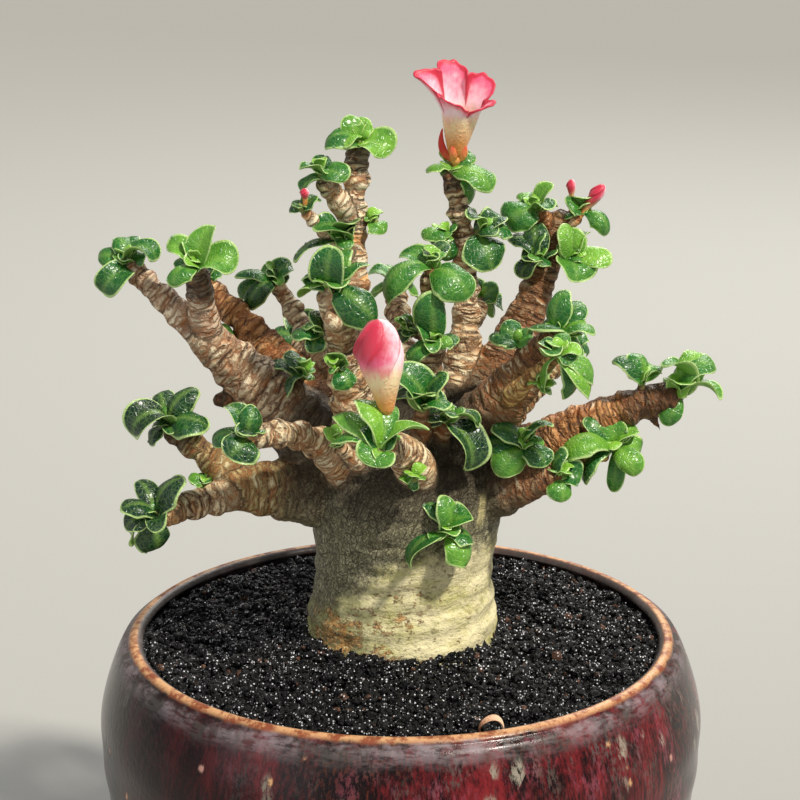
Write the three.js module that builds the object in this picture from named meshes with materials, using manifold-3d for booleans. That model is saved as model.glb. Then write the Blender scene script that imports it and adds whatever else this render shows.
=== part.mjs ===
// Potted desert rose (Adenium): a glazed bowl with a drain mesh and black granular soil, a swollen trunk
// that carries its limbs as one grown piece, shoots with curled leaves, an open flower and four buds.
// Millimetres, +Z up. The origin is on the bowl's axis, on the face that its foot ring stands on.
// A direction is a heading, in degrees about +Z from +X, and a climb, in degrees above the horizontal.
import * as THREE from 'three';
import { mergeVertices } from 'three/addons/utils/BufferGeometryUtils.js';
import Module from 'manifold-3d';

const wasm = await Module();
wasm.setup();

// The bowl and what it holds.
const GAP = 0.3; // clearance between neighbouring pieces
const RIM_HEIGHT = 120;
const RIM_RADIUS = 92;
const WALL = 5.4;
const LIP_ROUND = 1.2;
const BELLY_RADIUS = 101.6;
const BELLY_HEIGHT = 89;
const BELLY_FULLNESS = 0.75; // 0.5 is an ellipse, and more draws the lower wall in
const FOOT_RADIUS = 62;
const FOOT_WIDTH = 8;
const FOOT_RECESS = 4;
const FLOOR_TOP = 11;
const FLOOR_CORNER = 4; // how far the floor's edge rounds into the wall
const DRAIN_RADIUS = 9;
const MESH_RADIUS = 17;
const MESH_THICKNESS = 1.2;
const MESH_SLOT = 2.6;
const MESH_PITCH = 5.6;
const SOIL_EDGE_DROP = 5.5; // soil below the rim at the wall
const SOIL_MOUND = 4.5; // how far the soil rises from the wall to the trunk
const WALL_HEIGHTS = [14, 31, 57, 78, 94, 108, RIM_HEIGHT - SOIL_EDGE_DROP];

// The trunk: a round root end, a shoulder at the soil, a waist, and a crown that the limbs leave.
const TRUNK_RADIUS = 31;
const TRUNK_WAVE = 1.5; // how far the shoulder and crown swell past that radius, and the waist falls short
const TRUNK_BASE = 80;
const TRUNK_SHOULDER = 116;
const TRUNK_CROWN = 170;
const TRUNK_TOP = 191;
const TRUNK_LEAN = 3;

// Leaves, flower and buds.
const LEAF_THICKNESS = 1.3;
const LEAF_STAGGER = 1.5; // how far the second leaf of a whorl lies behind the first
const LEAF_FACE = new THREE.Vector3(0, -0.33, 0.94).normalize(); // where blades turn their upper side
const PETAL_THICKNESS = 0.9;
const TUBE_LENGTH = 14;
const TUBE_FOOT = 1.9;
const TUBE_THROAT = 6.1;
const LOBES = { count: 5, heading: 180, ripple: 0.16, reach: [12, 9], height: 23, tilt: 6.5,
  tiltHeading: 120 };
const FLOWER_LEAN = [1.4, -0.6];
const SEPALS = { count: 5, heading: 180, length: 5.5, longest: 8 };

// How finely each kind of shape is faceted.
const POT_SIDES = 40;
const TRUNK_SIDES = 16;
const TRUNK_RINGS = 11;
const LIMB_SIDES = 6;
const LIMB_STEP = 13;
const LEAF_SIDES = 4;
const LEAF_RINGS = 4;
const STEM_SIDES = 5;
const FLOWER_SIDES = 20;
const TUBE_RINGS = 4;
const LOBE_RINGS = 2;
const BUD_SIDES = 8;
const BUD_RINGS = 6;

const finishes = {
  glaze: { color: 0x4a2723, roughness: 0.25, metalness: 0 },
  mesh: { color: 0x26282a, roughness: 0.7, metalness: 0 },
  soil: { color: 0x17161a, roughness: 0.55, metalness: 0 },
  bark: { color: 0xa48f6e, roughness: 0.85, metalness: 0 },
  leaf: { color: 0x3d7f2a, roughness: 0.3, metalness: 0 },
  petal: { color: 0xe35a80, roughness: 0.5, metalness: 0 },
  sepal: { color: 0xcc4a35, roughness: 0.55, metalness: 0 },
  dry: { color: 0x9a5a33, roughness: 0.8, metalness: 0 },
};

// Each limb grows from a `seat` inside the trunk, or from a share `at` of the way along the limb it names.
// Its middle rises by `bow` and swings left of its heading by `sway`. It thins from `thick` to `thin`.
const limbs = {
  left_main: { seat: [-20, 0, 180], heading: 180, climb: 44, length: 62, thick: 15, thin: 6, taper: 1 },
  left_outer: { from: 'left_main', at: 0.97, heading: 168, climb: 42, length: 32, thick: 6, thin: 4 },
  left_upright: { from: 'left_main', at: 0.97, heading: 257, climb: 69, length: 25, thick: 5.6, thin: 4.2 },
  left_middle: { seat: [-18, 8, 188], heading: 150, climb: 38, length: 68, thick: 9, thin: 3.6, taper: 1 },
  left_back: { seat: [-14, 12, 190], heading: 136, climb: 46, length: 54, thick: 9, thin: 2.8, taper: 1.5 },
  left_low: { seat: [-14, -3, 170], heading: 196, climb: 7, length: 41, thick: 15, thin: 7.5, taper: 1 },
  left_low_upper: { from: 'left_low', at: 0.93, heading: 165, climb: 36, length: 30, thick: 6.5, thin: 4 },
  left_low_lower: { from: 'left_low', at: 0.93, heading: 214, climb: -5, length: 31, thick: 7, thin: 4.2 },
  left_front: { seat: [-17, -16, 182], heading: 221, climb: 27, length: 43, bow: 5, thick: 8, thin: 3.9 },
  front_tall: { seat: [-12, -12, 182], heading: 222, climb: 78, length: 60, thick: 10, thin: 5.2 },
  tall_left: { seat: [-10, 2, 184], heading: 104, climb: 80, length: 97, sway: 3, thick: 11, thin: 3.8,
    taper: 3 },
  tall_left_side: { from: 'tall_left', at: 0.76, heading: 204, climb: 57, length: 18, thick: 4, thin: 3.5 },
  tall_left_twig: { from: 'tall_left', at: 0.65, heading: 211, climb: 44, length: 24, thick: 3.6,
    thin: 2.2 },
  tall_right: { seat: [13, 6, 182], heading: 79, climb: 76, length: 90, bow: -5, sway: -6, thick: 11,
    thin: 3.6, taper: 3 },
  centre_tall: { seat: [8, -4, 184], heading: 288, climb: 84, length: 62, thick: 9, thin: 3.6 },
  centre_spur: { seat: [5, -16, 184], heading: 280, climb: 61, length: 23, thick: 6, thin: 2.8 },
  bud_limb: { seat: [7, -20, 178], heading: 250, climb: 33, length: 42, bow: 4, thick: 9, thin: 4.8 },
  front_twig: { seat: [-10, -20, 182], heading: 228, climb: 42, length: 18, thick: 5, thin: 2 },
  front_right_spur: { seat: [10, -14, 182], heading: 294, climb: 60, length: 20, thick: 6, thin: 2.6 },
  right_upper: { seat: [14, 3, 180], heading: 37, climb: 56, length: 89, bow: -5, thick: 14, thin: 4,
    taper: 1.5 },
  right_upper_left: { from: 'right_upper', at: 0.96, heading: 180, climb: 42, length: 7, thick: 3.4,
    thin: 2.8 },
  right_upper_right: { from: 'right_upper', at: 0.96, heading: 0, climb: 38, length: 7, thick: 3.4,
    thin: 2.8 },
  right_fan: { seat: [14, -4, 180], heading: 338, climb: 51, length: 59, thick: 13, thin: 5, taper: 1 },
  right_fan_lower: { from: 'right_fan', at: 0.4, heading: 311, climb: 40, length: 40, thick: 6, thin: 2.2 },
  right_long: { seat: [24, 0, 170], heading: 355, climb: 28, length: 72, bow: 4, thick: 13, thin: 5.2 },
  right_low: { seat: [14, -4, 168], heading: 335, climb: 18, length: 40, thick: 15, thin: 4.4, taper: 1 },
  right_low_spur: { from: 'right_low', at: 0.6, heading: 323, climb: 67, length: 13, thick: 5, thin: 3 },
  right_low_twig: { from: 'right_low', at: 0.75, heading: 15, climb: 17, length: 28, thick: 5, thin: 3 },
  back_left: { seat: [-8, 12, 182], heading: 120, climb: 22, length: 57, thick: 10, thin: 4.2 },
  back_outer_left: { seat: [-18, 8, 174], heading: 122, climb: 20, length: 53, bow: -3, thick: 11,
    thin: 3.8 },
  back_middle: { seat: [3, 12, 184], heading: 96, climb: 39, length: 61, bow: 3, thick: 9, thin: 3.8 },
  back_low: { seat: [0, 14, 172], heading: 102, climb: 18, length: 60, thick: 14, thin: 4 },
  back_right: { seat: [18, 10, 176], heading: 47, climb: 24, length: 63, thick: 12, thin: 3.8 },
  back_twig: { seat: [14, 12, 190], heading: 70, climb: 38, length: 49, thick: 8, thin: 2.6 },
  cut_stub: { from: 'left_main', at: 0.5, heading: 185, climb: 0, length: 17, thick: 5, thin: 2.6,
    taper: 1 },
  round_scar: { from: 'front_tall', at: 0.88, heading: 262, climb: 10, length: 8, thick: 4.6, thin: 3.8 },
  spur_right: { from: 'right_long', at: 0.88, heading: 355, climb: -55, length: 12, thick: 3, thin: 0.5,
    taper: 1 },
};

// Each shoot is a short green stem with its leaves. It ends the limb it names, or it stands on that limb's
// side, a share `at` of the way along, facing `side` [heading, climb].
const shoots = {
  left_outer: { on: 'left_outer', whorls: [whorl([8, 8.5], 12, 10, 5, -5), whorl([9.5, 11], 13, 8, 4, 4),
    whorl([2], 8, 10, 8, -2), whorl([11.5], 9, 9, 4, 10)] },
  left_upright: { on: 'left_upright', whorls: [whorl([2.5], 13, 13, 5, -4), whorl([0.5], 17, 10, 3, 2),
    whorl([8.5], 7, 9, 5, -8), whorl([10.5, 11.5], 14, 8, 3, 1), whorl([1], 8, 9, 4, 10)] },
  left_middle: { on: 'left_middle', whorls: [whorl([1, 10], 7, 8, 3, 3), whorl([12], 6, 9, 5, 9)] },
  left_middle_low: { on: 'left_middle', at: 0.75, side: [200, -50],
    whorls: [whorl([10, 7.5], 6, 7, 4, -5)] },
  left_back: { on: 'left_back', whorls: [whorl([9.5, 8.5], 16, 8, 3, 0), whorl([8], 12, 8, 5, -5),
    whorl([10.5, 1], 9, 8, 5, 2), whorl([12], 4, 9, 4, 11)] },
  crown_left: { on: 'left_main', at: 0.45, side: [0, 50], whorls: [whorl([10, 11], 11, 8, 4, 0),
    whorl([7.5], 6, 8, 5, -7)] },
  left_front: { on: 'left_front', whorls: [whorl([8], 9, 13, 4, -9), whorl([8.5, 10.5], 14, 8, 4, 2),
    whorl([12], 10, 8, 4, 0)] },
  left_low_upper: { on: 'left_low_upper', whorls: [whorl([9], 13, 12, 9, -6), whorl([2.5], 12, 12, 4, -6),
    whorl([1], 15, 9, 4, 5), whorl([8], 9, 8, 3, -2), whorl([11], 12, 9, 4, 9)] },
  left_low_lower: { on: 'left_low_lower', whorls: [whorl([1], 14, 14, 4, 0), whorl([9.5, 8.5], 14, 9, 4, -7),
    whorl([10.5], 13, 8, 3, 6), whorl([7.5, 6.5], 14, 12, 4, -1)] },
  left_fork: { on: 'left_low_upper', at: 0.4, side: [215, -45], whorls: [whorl([9], 7, 7, 3, -3)] },
  front_tall: { on: 'front_tall', whorls: [whorl([12, 1.5], 18, 12, 3, -3), whorl([10, 9], 12, 9, 4, 0),
    whorl([4], 15, 13, 4, -5), whorl([0.5], 14, 11, 4, 8)] },
  front_tall_side: { on: 'front_tall', at: 0.76, side: [180, 10], whorls: [whorl([9, 11], 11, 8, 4, -1),
    whorl([7.5], 6, 7, 3, -4)] },
  front_tall_face: { on: 'front_tall', at: 0.6, side: [250, 10], whorls: [whorl([11.5, 5], 7, 9, 4, -6)] },
  tall_left: { on: 'tall_left', whorls: [whorl([9.5], 11, 9, 7, -2), whorl([3], 10, 12, 5, -4),
    whorl([11.5, 0.5], 13, 8, 3, 1), whorl([10.5], 5, 8, 4, -8), whorl([1, 10], 7, 9, 4, 9)] },
  tall_left_side: { on: 'tall_left_side', whorls: [whorl([10, 8], 10, 9, 4, -3), whorl([2.5], 7, 9, 5, -5),
    whorl([12], 8, 8, 3, 4)] },
  tall_left_twig: { on: 'tall_left_twig', whorls: [whorl([1], 7, 7, 2, -3), whorl([9.5, 1.5], 6, 6, 3, 3)] },
  tall_left_front: { on: 'tall_left', at: 0.7, side: [235, 10], whorls: [whorl([10], 13, 11, 4, -9),
    whorl([0.5], 9, 11, 3, -9), whorl([8.5], 18, 8, 3, -8)] },
  tall_left_right: { on: 'tall_left', at: 0.77, side: [350, 5], whorls: [whorl([4], 7, 9, 5, -3)] },
  tall_right: { on: 'tall_right', whorls: [whorl([9.5], 9, 9, 5, -3), whorl([3.5], 13, 14, 4, -6),
    whorl([5, 1.5], 11, 9, 4, 3), whorl([11], 5, 9, 4, 9)] },
  tall_right_left: { on: 'tall_right', at: 0.78, side: [195, 15], whorls: [whorl([9], 10, 9, 5, -5),
    whorl([6.5, 7.5], 8, 8, 4, -2)] },
  tall_right_right: { on: 'tall_right', at: 0.78, side: [340, 25], whorls: [whorl([5], 12, 16, 4, -7),
    whorl([3, 2], 13, 9, 4, 1)] },
  centre_tall: { on: 'centre_tall', whorls: [whorl([4], 13, 15, 5, -6), whorl([8], 16, 12, 7, -5),
    whorl([10, 1], 12, 8, 2, 4), whorl([11], 6, 9, 4, 11)] },
  centre_upper: { on: 'centre_tall', at: 0.6, side: [285, 25], whorls: [whorl([12], 20, 11, 2, -6),
    whorl([11, 2.5], 10, 9, 3, -4), whorl([8], 9, 8, 4, -5)] },
  centre_left: { on: 'centre_tall', at: 0.65, side: [185, 20], whorls: [whorl([10.5, 8], 9, 8, 4, -1)] },
  centre_front: { on: 'centre_spur', whorls: [whorl([11, 1], 18, 13, 3, -2), whorl([2], 9, 10, 4, -9)] },
  bud_limb: { on: 'bud_limb', whorls: [whorl([8], 5, 13, 6, -9), whorl([11, 9], 18, 10, 4, 2),
    whorl([10], 18, 8, 3, 7), whorl([2], 16, 8, 3, -5), whorl([12], 13, 9, 4, 9)] },
  front_twig: { on: 'front_twig', whorls: [whorl([10.5, 1], 6, 7, 3, -3)] },
  bud_limb_under: { on: 'bud_limb', at: 0.5, side: [290, -35], whorls: [whorl([4, 8], 5, 7, 3, -4),
    whorl([6], 6, 6, 3, -2)] },
  front_right: { on: 'front_right_spur', whorls: [whorl([5], 15, 13, 4, -7), whorl([3], 11, 9, 4, -2)] },
  right_low_spur: { on: 'right_low_spur', whorls: [whorl([10.5, 9.5], 14, 10, 4, -4),
    whorl([8, 3.5], 9, 11, 4, -8), whorl([1.5], 15, 9, 5, -3), whorl([12], 8, 8, 3, 4)] },
  right_low: { on: 'right_low', whorls: [whorl([1, 3], 11, 9, 4, -2), whorl([5], 7, 9, 4, -6)] },
  right_low_twig: { on: 'right_low_twig', whorls: [whorl([9], 13, 11, 6, -8), whorl([11, 0.5], 13, 10, 3, 0),
    whorl([2, 3.5], 14, 8, 5, 2), whorl([4, 7], 12, 9, 5, -6), whorl([5.5], 13, 6, 3, -2)] },
  right_long_top: { on: 'right_long', at: 0.88, side: [250, 80], whorls: [whorl([10.5, 11.5], 14, 10, 6, 0),
    whorl([1], 8, 8, 4, 5)] },
  right_long: { on: 'right_long', whorls: [whorl([11.5], 12, 11, 6, -5), whorl([2], 18, 12, 6, 1),
    whorl([3], 17, 10, 4, -4), whorl([6], 9, 8, 3, -4), whorl([1], 16, 10, 5, 6)] },
  right_fan: { on: 'right_fan', whorls: [whorl([10.5], 9, 15, 4, -10), whorl([0.5, 1.5], 17, 10, 4, 3),
    whorl([2.5, 2], 14, 9, 4, -4), whorl([4.5], 9, 9, 3, -7)] },
  right_fan_lower: { on: 'right_fan_lower', whorls: [whorl([4.5, 4], 16, 8, 4, -2),
    whorl([5.5, 6], 14, 9, 4, 2), whorl([3], 5, 7, 3, -6)] },
  right_fan_nub: { on: 'right_fan_lower', at: 0.7, side: [320, -35], whorls: [whorl([1.5], 6, 6, 6, -4)] },
  right_inner: { on: 'right_upper', at: 0.84, side: [250, 15], whorls: [whorl([8, 9.5], 9, 9, 4, -6),
    whorl([10, 11.5], 14, 9, 4, 2), whorl([12], 10, 8, 4, -7)] },
  right_middle: { on: 'right_upper', at: 0.84, side: [350, 5], whorls: [whorl([3], 17, 9, 2, -4),
    whorl([4.5], 7, 15, 5, -10), whorl([12, 0.5], 13, 9, 3, -2), whorl([1.5], 13, 10, 4, 3)] },
  right_upper_left: { on: 'right_upper_left', whorls: [whorl([8.5], 12, 14, 9, -4),
    whorl([0.5], 12, 7, 2, 0), whorl([1], 5, 8, 3, -8), whorl([10.5], 9, 8, 4, 7)] },
  right_upper_right: { on: 'right_upper_right', whorls: [whorl([0.5, 11], 8, 8, 4, -4),
    whorl([4], 11, 7, 6, -3)] },
  right_crotch: { on: 'right_fan', at: 0.8, side: [130, 50], whorls: [whorl([9.5, 10.5], 11, 9, 4, 2)] },
  trunk_front: { on: 'trunk', at: 0.74, side: [293, 5], whorls: [whorl([12, 11], 14, 8, 4, -5),
    whorl([2, 3.5], 12, 10, 4, -5), whorl([7.5, 4.5], 14, 12, 4, -7)] },
  back_twig: { on: 'back_twig', whorls: [whorl([1.5, 3.5], 9, 9, 3, 0), whorl([11, 5], 7, 8, 4, 5)] },
  back_left: { on: 'back_left', whorls: rosette(-0.5) },
  back_outer_left: { on: 'back_outer_left', whorls: rosette(0.5) },
  back_middle: { on: 'back_middle', whorls: rosette(0) },
  back_low: { on: 'back_low', whorls: rosette(1) },
  back_right: { on: 'back_right', whorls: rosette(-1) },
};

// Each bud stands on the end of a limb, off its centre by `offset`, on a stalk, and is `width` across.
const buds = {
  front_bud: { on: 'bud_limb', offset: [1.5, 0.5, 2.5], heading: 180, climb: 85, stalk: 7.5, length: 32,
    width: 15 },
  right_bud: { on: 'right_upper_right', offset: [0.6, -0.8, -0.3], heading: 355, climb: 53, stalk: 2.5,
    length: 12.5, width: 4.6 },
  right_small_bud: { on: 'right_upper_right', offset: [-1.2, 1, 0.5], heading: 90, climb: 88, stalk: 5.5,
    length: 7, width: 3.2 },
  left_tiny_bud: { on: 'tall_left_twig', offset: [-0.8, -0.3, 0], heading: 270, climb: 80, stalk: 4.5,
    length: 4.6, width: 3.2 },
};

// Leaves of one length that point to hours of a clock face seen from the front, and end `depth` behind
// the seat.
function whorl(hours, reach, width, curl, depth) {
  return hours.map((hour, i) => {
    const turn = THREE.MathUtils.degToRad(30 * hour);
    const second = i % 2;
    const length = reach * (1 - 0.1 * second);
    const back = depth + LEAF_STAGGER * second;
    return { tip: new THREE.Vector3(length * Math.sin(turn), back, length * Math.cos(turn)), width, curl };
  });
}

// A plain full rosette that opens to the back, turned by some hours.
function rosette(turn) {
  return [whorl([10 + turn, 2 + turn], 11, 10, 4, 4), whorl([12 + turn], 5, 11, 5, 12),
    whorl([8 + turn, 4 + turn], 9, 9, 4, 7)];
}

function toVector([x, y, z]) {
  return new THREE.Vector3(x, y, z);
}

function direction(heading, climb) {
  const turn = THREE.MathUtils.degToRad(heading);
  const rise = THREE.MathUtils.degToRad(climb);
  return new THREE.Vector3(Math.cos(turn) * Math.cos(rise), Math.sin(turn) * Math.cos(rise), Math.sin(rise));
}

function toSolid(geometry) {
  const merged = geometry.clone();
  merged.deleteAttribute('normal');
  merged.deleteAttribute('uv');
  const closed = mergeVertices(merged, 1e-4);
  const mesh = new wasm.Mesh({
    numProp: 3,
    vertProperties: new Float32Array(closed.attributes.position.array),
    triVerts: new Uint32Array(closed.index.array),
  });
  mesh.merge();
  return new wasm.Manifold(mesh);
}

function toGeometry(solid) {
  const mesh = solid.getMesh();
  const geometry = new THREE.BufferGeometry();
  geometry.setAttribute('position', new THREE.BufferAttribute(new Float32Array(mesh.vertProperties), 3));
  geometry.setIndex(new THREE.BufferAttribute(new Uint32Array(mesh.triVerts), 1));
  geometry.computeVertexNormals();
  return geometry;
}

function union(solids) {
  return solids.reduce((sum, solid) => sum.add(solid));
}

function largestBody(solid) {
  const bodies = solid.decompose();
  return bodies.reduce((best, body) => (body.volume() > best.volume() ? body : best));
}

// Moves every vertex of a geometry through a function of its position.
function reshape(geometry, move) {
  const positions = geometry.attributes.position;
  const point = new THREE.Vector3();
  for (let i = 0; i < positions.count; i += 1) {
    point.fromBufferAttribute(positions, i);
    move(point);
    positions.setXYZ(i, point.x, point.y, point.z);
  }
  return geometry;
}

// A lathe about +Z from [radius, height] points.
function latheGeometry(profile, sides) {
  const points = profile.map(([radius, height]) => new THREE.Vector2(radius, height));
  const geometry = new THREE.LatheGeometry(points, sides);
  geometry.rotateX(Math.PI / 2);
  return geometry;
}

// A tube with flat ends through a list of centres, with a radius at each.
function tubeGeometry(centres, radii, sides, grow) {
  const last = centres.length - 1;
  const run = centres[last].clone().sub(centres[0]).normalize();
  const side = Math.abs(run.y) < 0.7 ? new THREE.Vector3(0, 1, 0) : new THREE.Vector3(1, 0, 0);
  const frames = centres.map((centre, i) => {
    const ahead = centres[Math.min(i + 1, last)].clone().sub(centres[Math.max(i - 1, 0)]).normalize();
    const across = new THREE.Vector3().crossVectors(side, ahead).normalize();
    const lift = new THREE.Vector3().crossVectors(ahead, across);
    const end = i === 0 ? -grow : i === last ? grow : 0;
    return { centre: centre.clone().addScaledVector(ahead, end), across, lift, radius: radii[i] + grow };
  });
  const geometry = new THREE.CylinderGeometry(1, 1, 1, sides, last);
  return reshape(geometry, (point) => {
    const { centre, across, lift, radius } = frames[Math.round((point.y + 0.5) * last)];
    const { x, z } = point;
    point.copy(centre).addScaledVector(across, -x * radius).addScaledVector(lift, z * radius);
  });
}

// The trunk's radius: a gentle wave from the shoulder to the crown, rounded off below and above them.
function trunkRadius(height) {
  const phase = (2 * Math.PI * (height - TRUNK_SHOULDER)) / (TRUNK_CROWN - TRUNK_SHOULDER);
  const below = Math.max(0, TRUNK_SHOULDER - height) / (TRUNK_SHOULDER - TRUNK_BASE + 2);
  const above = Math.max(0, height - TRUNK_CROWN) / (TRUNK_TOP - TRUNK_CROWN + 3);
  return (TRUNK_RADIUS + TRUNK_WAVE * Math.cos(phase)) * Math.sqrt((1 - below ** 2) * (1 - above ** 2));
}

function growTrunk() {
  const middle = (TRUNK_BASE + TRUNK_TOP) / 2;
  const spine = new THREE.QuadraticBezierCurve3(new THREE.Vector3(0, 0, TRUNK_BASE),
    new THREE.Vector3(0, 0, middle), new THREE.Vector3(TRUNK_LEAN, 0, TRUNK_TOP));
  const radiusAt = (t) => trunkRadius(TRUNK_BASE + t * (TRUNK_TOP - TRUNK_BASE));
  return { spine, radiusAt, rings: TRUNK_RINGS, sides: TRUNK_SIDES };
}

function growLimb(limb) {
  const { heading, climb, length, bow = 0, sway = 0, thick, thin, taper = 2 } = limb;
  const start = limb.from ? grown[limb.from].spine.getPoint(limb.at) : toVector(limb.seat);
  const end = start.clone().addScaledVector(direction(heading, climb), length);
  const middle = start.clone().lerp(end, 0.5);
  middle.addScaledVector(direction(heading, climb + 90), 2 * bow);
  middle.addScaledVector(direction(heading + 90, 0), 2 * sway);
  const spine = new THREE.QuadraticBezierCurve3(start, middle, end);
  const radiusAt = (t) => thin + (thick - thin) * (1 - t) ** taper;
  return { spine, radiusAt, rings: Math.max(2, Math.round(length / LIMB_STEP)), sides: LIMB_SIDES };
}

function woodSolid(grow) {
  const tubes = Object.values(grown).map(({ spine, radiusAt, rings, sides }) => {
    const centres = spine.getPoints(rings);
    const radii = centres.map((_, i) => radiusAt(i / rings));
    return toSolid(tubeGeometry(centres, radii, sides, grow));
  });
  return largestBody(union(tubes));
}

// How wide a leaf is along its length, as a share of its full width: a narrow stalk, then a round blade.
function leafOutline(t) {
  const widest = 0.6;
  if (t > widest) return Math.sqrt(Math.max(0, 1 - ((t - widest) / (1 - widest)) ** 2));
  return 0.12 + 0.88 * THREE.MathUtils.smoothstep(t, 0.06, widest);
}

// A leaf that arches from its base to its tip, with its margins bent down like a spoon turned over.
function leafGeometry(base, tip, width, curl, grow) {
  const chord = tip.clone().sub(base);
  const length = chord.length();
  const along = chord.clone().normalize();
  const rise = LEAF_FACE.clone().addScaledVector(along, -LEAF_FACE.dot(along)).normalize();
  const across = new THREE.Vector3().crossVectors(rise, along);
  const arch = length * (0.08 + 0.13 * curl);
  const middle = base.clone().addScaledVector(chord, 0.5).addScaledVector(rise, arch);
  const spine = new THREE.QuadraticBezierCurve3(base, middle, tip);
  const droop = 0.22 + 0.05 * curl;
  const geometry = new THREE.SphereGeometry(1, LEAF_SIDES, LEAF_RINGS);
  return reshape(geometry, (point) => {
    const t = (1 - point.y) / 2;
    const ring = Math.sqrt(Math.max(0, 1 - point.y ** 2));
    const sideways = ring > 1e-6 ? point.x / ring : 0;
    const through = ring > 1e-6 ? point.z / ring : 0;
    const tangent = spine.getTangent(t);
    const normal = new THREE.Vector3().crossVectors(tangent, across).normalize();
    const halfWidth = (width / 2) * leafOutline(t) + grow;
    const halfThickness = (LEAF_THICKNESS / 2) * Math.sqrt(leafOutline(t)) + grow;
    spine.getPoint(t, point);
    point.addScaledVector(tangent, grow * (2 * t - 1));
    point.addScaledVector(across, sideways * halfWidth);
    point.addScaledVector(normal, through * halfThickness - droop * halfWidth * sideways ** 2);
  });
}

function shootFrame({ on, at, side }) {
  const { spine, radiusAt } = grown[on];
  if (!side) return { seat: spine.getPoint(1), axis: spine.getTangent(1) };
  const axis = direction(...side);
  const inside = 0.9; // the flat-sided wood lies a little inside its full radius
  return { seat: spine.getPoint(at).addScaledVector(axis, inside * radiusAt(at)), axis };
}

function shootSolid(shoot, grow) {
  const { seat, axis } = shootFrame(shoot);
  const leaves = shoot.whorls.flat();
  const stemLength = 3 + 0.4 * leaves.length;
  const rooted = seat.clone().addScaledVector(axis, -1.2);
  const head = seat.clone().addScaledVector(axis, stemLength);
  const parts = [toSolid(tubeGeometry([rooted, head], [2, 1.3], STEM_SIDES, grow))];
  leaves.forEach(({ tip, width, curl }, i) => {
    const height = stemLength * (0.45 + 0.5 * (i / leaves.length));
    const base = seat.clone().addScaledVector(axis, height);
    parts.push(toSolid(leafGeometry(base, seat.clone().add(tip), width, curl, grow)));
  });
  return union(parts);
}

// A stalk that swells into a closed club, widest near its far end.
function budSolid(seat, axis, { stalk, length, width }, grow) {
  const stalkRadius = Math.min(1.2, width / 4);
  const profile = [[0, -grow], [stalkRadius + grow, -grow], [stalkRadius + grow, stalk]];
  for (let i = 1; i < BUD_RINGS; i += 1) {
    const t = i / BUD_RINGS;
    const radius = (width / 2) * Math.sin(Math.PI * t ** 1.6) ** 0.6;
    profile.push([Math.max(radius, stalkRadius) + grow, stalk + t * length]);
  }
  profile.push([0, stalk + length + grow]);
  const geometry = latheGeometry(profile, BUD_SIDES);
  geometry.applyQuaternion(new THREE.Quaternion().setFromUnitVectors(new THREE.Vector3(0, 0, 1), axis));
  geometry.translate(seat.x, seat.y, seat.z);
  return toSolid(geometry);
}

// Where the lobes' edge lies at an angle about the flower's axis, from the foot of its tube.
function lobeEdge(angle) {
  const fromLobe = angle - THREE.MathUtils.degToRad(LOBES.heading);
  const fromHigh = angle - THREE.MathUtils.degToRad(LOBES.tiltHeading);
  const out = 1 + LOBES.ripple * Math.cos(LOBES.count * fromLobe);
  return new THREE.Vector3(FLOWER_LEAN[0] + LOBES.reach[0] * out * Math.cos(angle),
    FLOWER_LEAN[1] + LOBES.reach[1] * out * Math.sin(angle), LOBES.height + LOBES.tilt * Math.cos(fromHigh));
}

// The corolla: a ring-shaped lathe whose two walls are moved onto the tube and out to the lobes' edge.
function corollaSolid(grow) {
  const rows = TUBE_RINGS + LOBE_RINGS;
  const thickness = PETAL_THICKNESS + 2 * grow;
  const profile = [];
  for (let row = 0; row <= rows; row += 1) profile.push([2, row]);
  for (let row = rows; row >= 0; row -= 1) profile.push([1, row]);
  profile.push(profile[0]);
  const geometry = reshape(latheGeometry(profile, FLOWER_SIDES), (point) => {
    const row = Math.round(point.z);
    const outward = Math.hypot(point.x, point.y) > 1.5 ? 1 : -1;
    const angle = Math.atan2(point.y, point.x);
    const share = Math.min(row / TUBE_RINGS, 1);
    const middle = TUBE_FOOT + (TUBE_THROAT - TUBE_FOOT) * share ** 0.8 - PETAL_THICKNESS / 2;
    const radius = Math.max(middle + (outward * thickness) / 2, 0.4);
    const height = TUBE_LENGTH * share - (row === 0 ? grow : 0);
    point.set(Math.cos(angle) * radius, Math.sin(angle) * radius, height);
    point.x += FLOWER_LEAN[0] * share;
    point.y += FLOWER_LEAN[1] * share;
    const unfolded = Math.max(0, row - TUBE_RINGS) / LOBE_RINGS;
    const aside = outward * thickness * 0.35;
    const edge = lobeEdge(angle);
    edge.add(new THREE.Vector3(Math.cos(angle) * (aside + grow), Math.sin(angle) * (aside + grow), -aside));
    point.lerp(edge, unfolded);
  });
  geometry.translate(flowerSeat.x, flowerSeat.y, flowerSeat.z);
  return toSolid(geometry);
}

// The calyx: a small cup under the tube, with narrow sepals round it. The first sepal is the longest.
function calyxSolid(grow) {
  const cup = [[0, -3.2 - grow], [1.3 + grow, -3.2 - grow], [2 + grow, -1.2], [1.4 + grow, grow], [0, grow]];
  const geometry = latheGeometry(cup, BUD_SIDES);
  geometry.translate(flowerSeat.x, flowerSeat.y, flowerSeat.z);
  const parts = [toSolid(geometry)];
  for (let i = 0; i < SEPALS.count; i += 1) {
    const length = i === 0 ? SEPALS.longest : SEPALS.length;
    const out = direction(SEPALS.heading + (360 * i) / SEPALS.count, 0);
    const centres = [[0.6, -2.4], [3.9, -0.8], [5.6, 0.5 * length], [6.4, length]].map(
      ([away, up]) => flowerSeat.clone().addScaledVector(out, away).add(new THREE.Vector3(0, 0, up)));
    parts.push(toSolid(tubeGeometry(centres, [0.8, 0.9, 0.8, 0.3], STEM_SIDES, grow)));
  }
  return union(parts);
}

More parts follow.
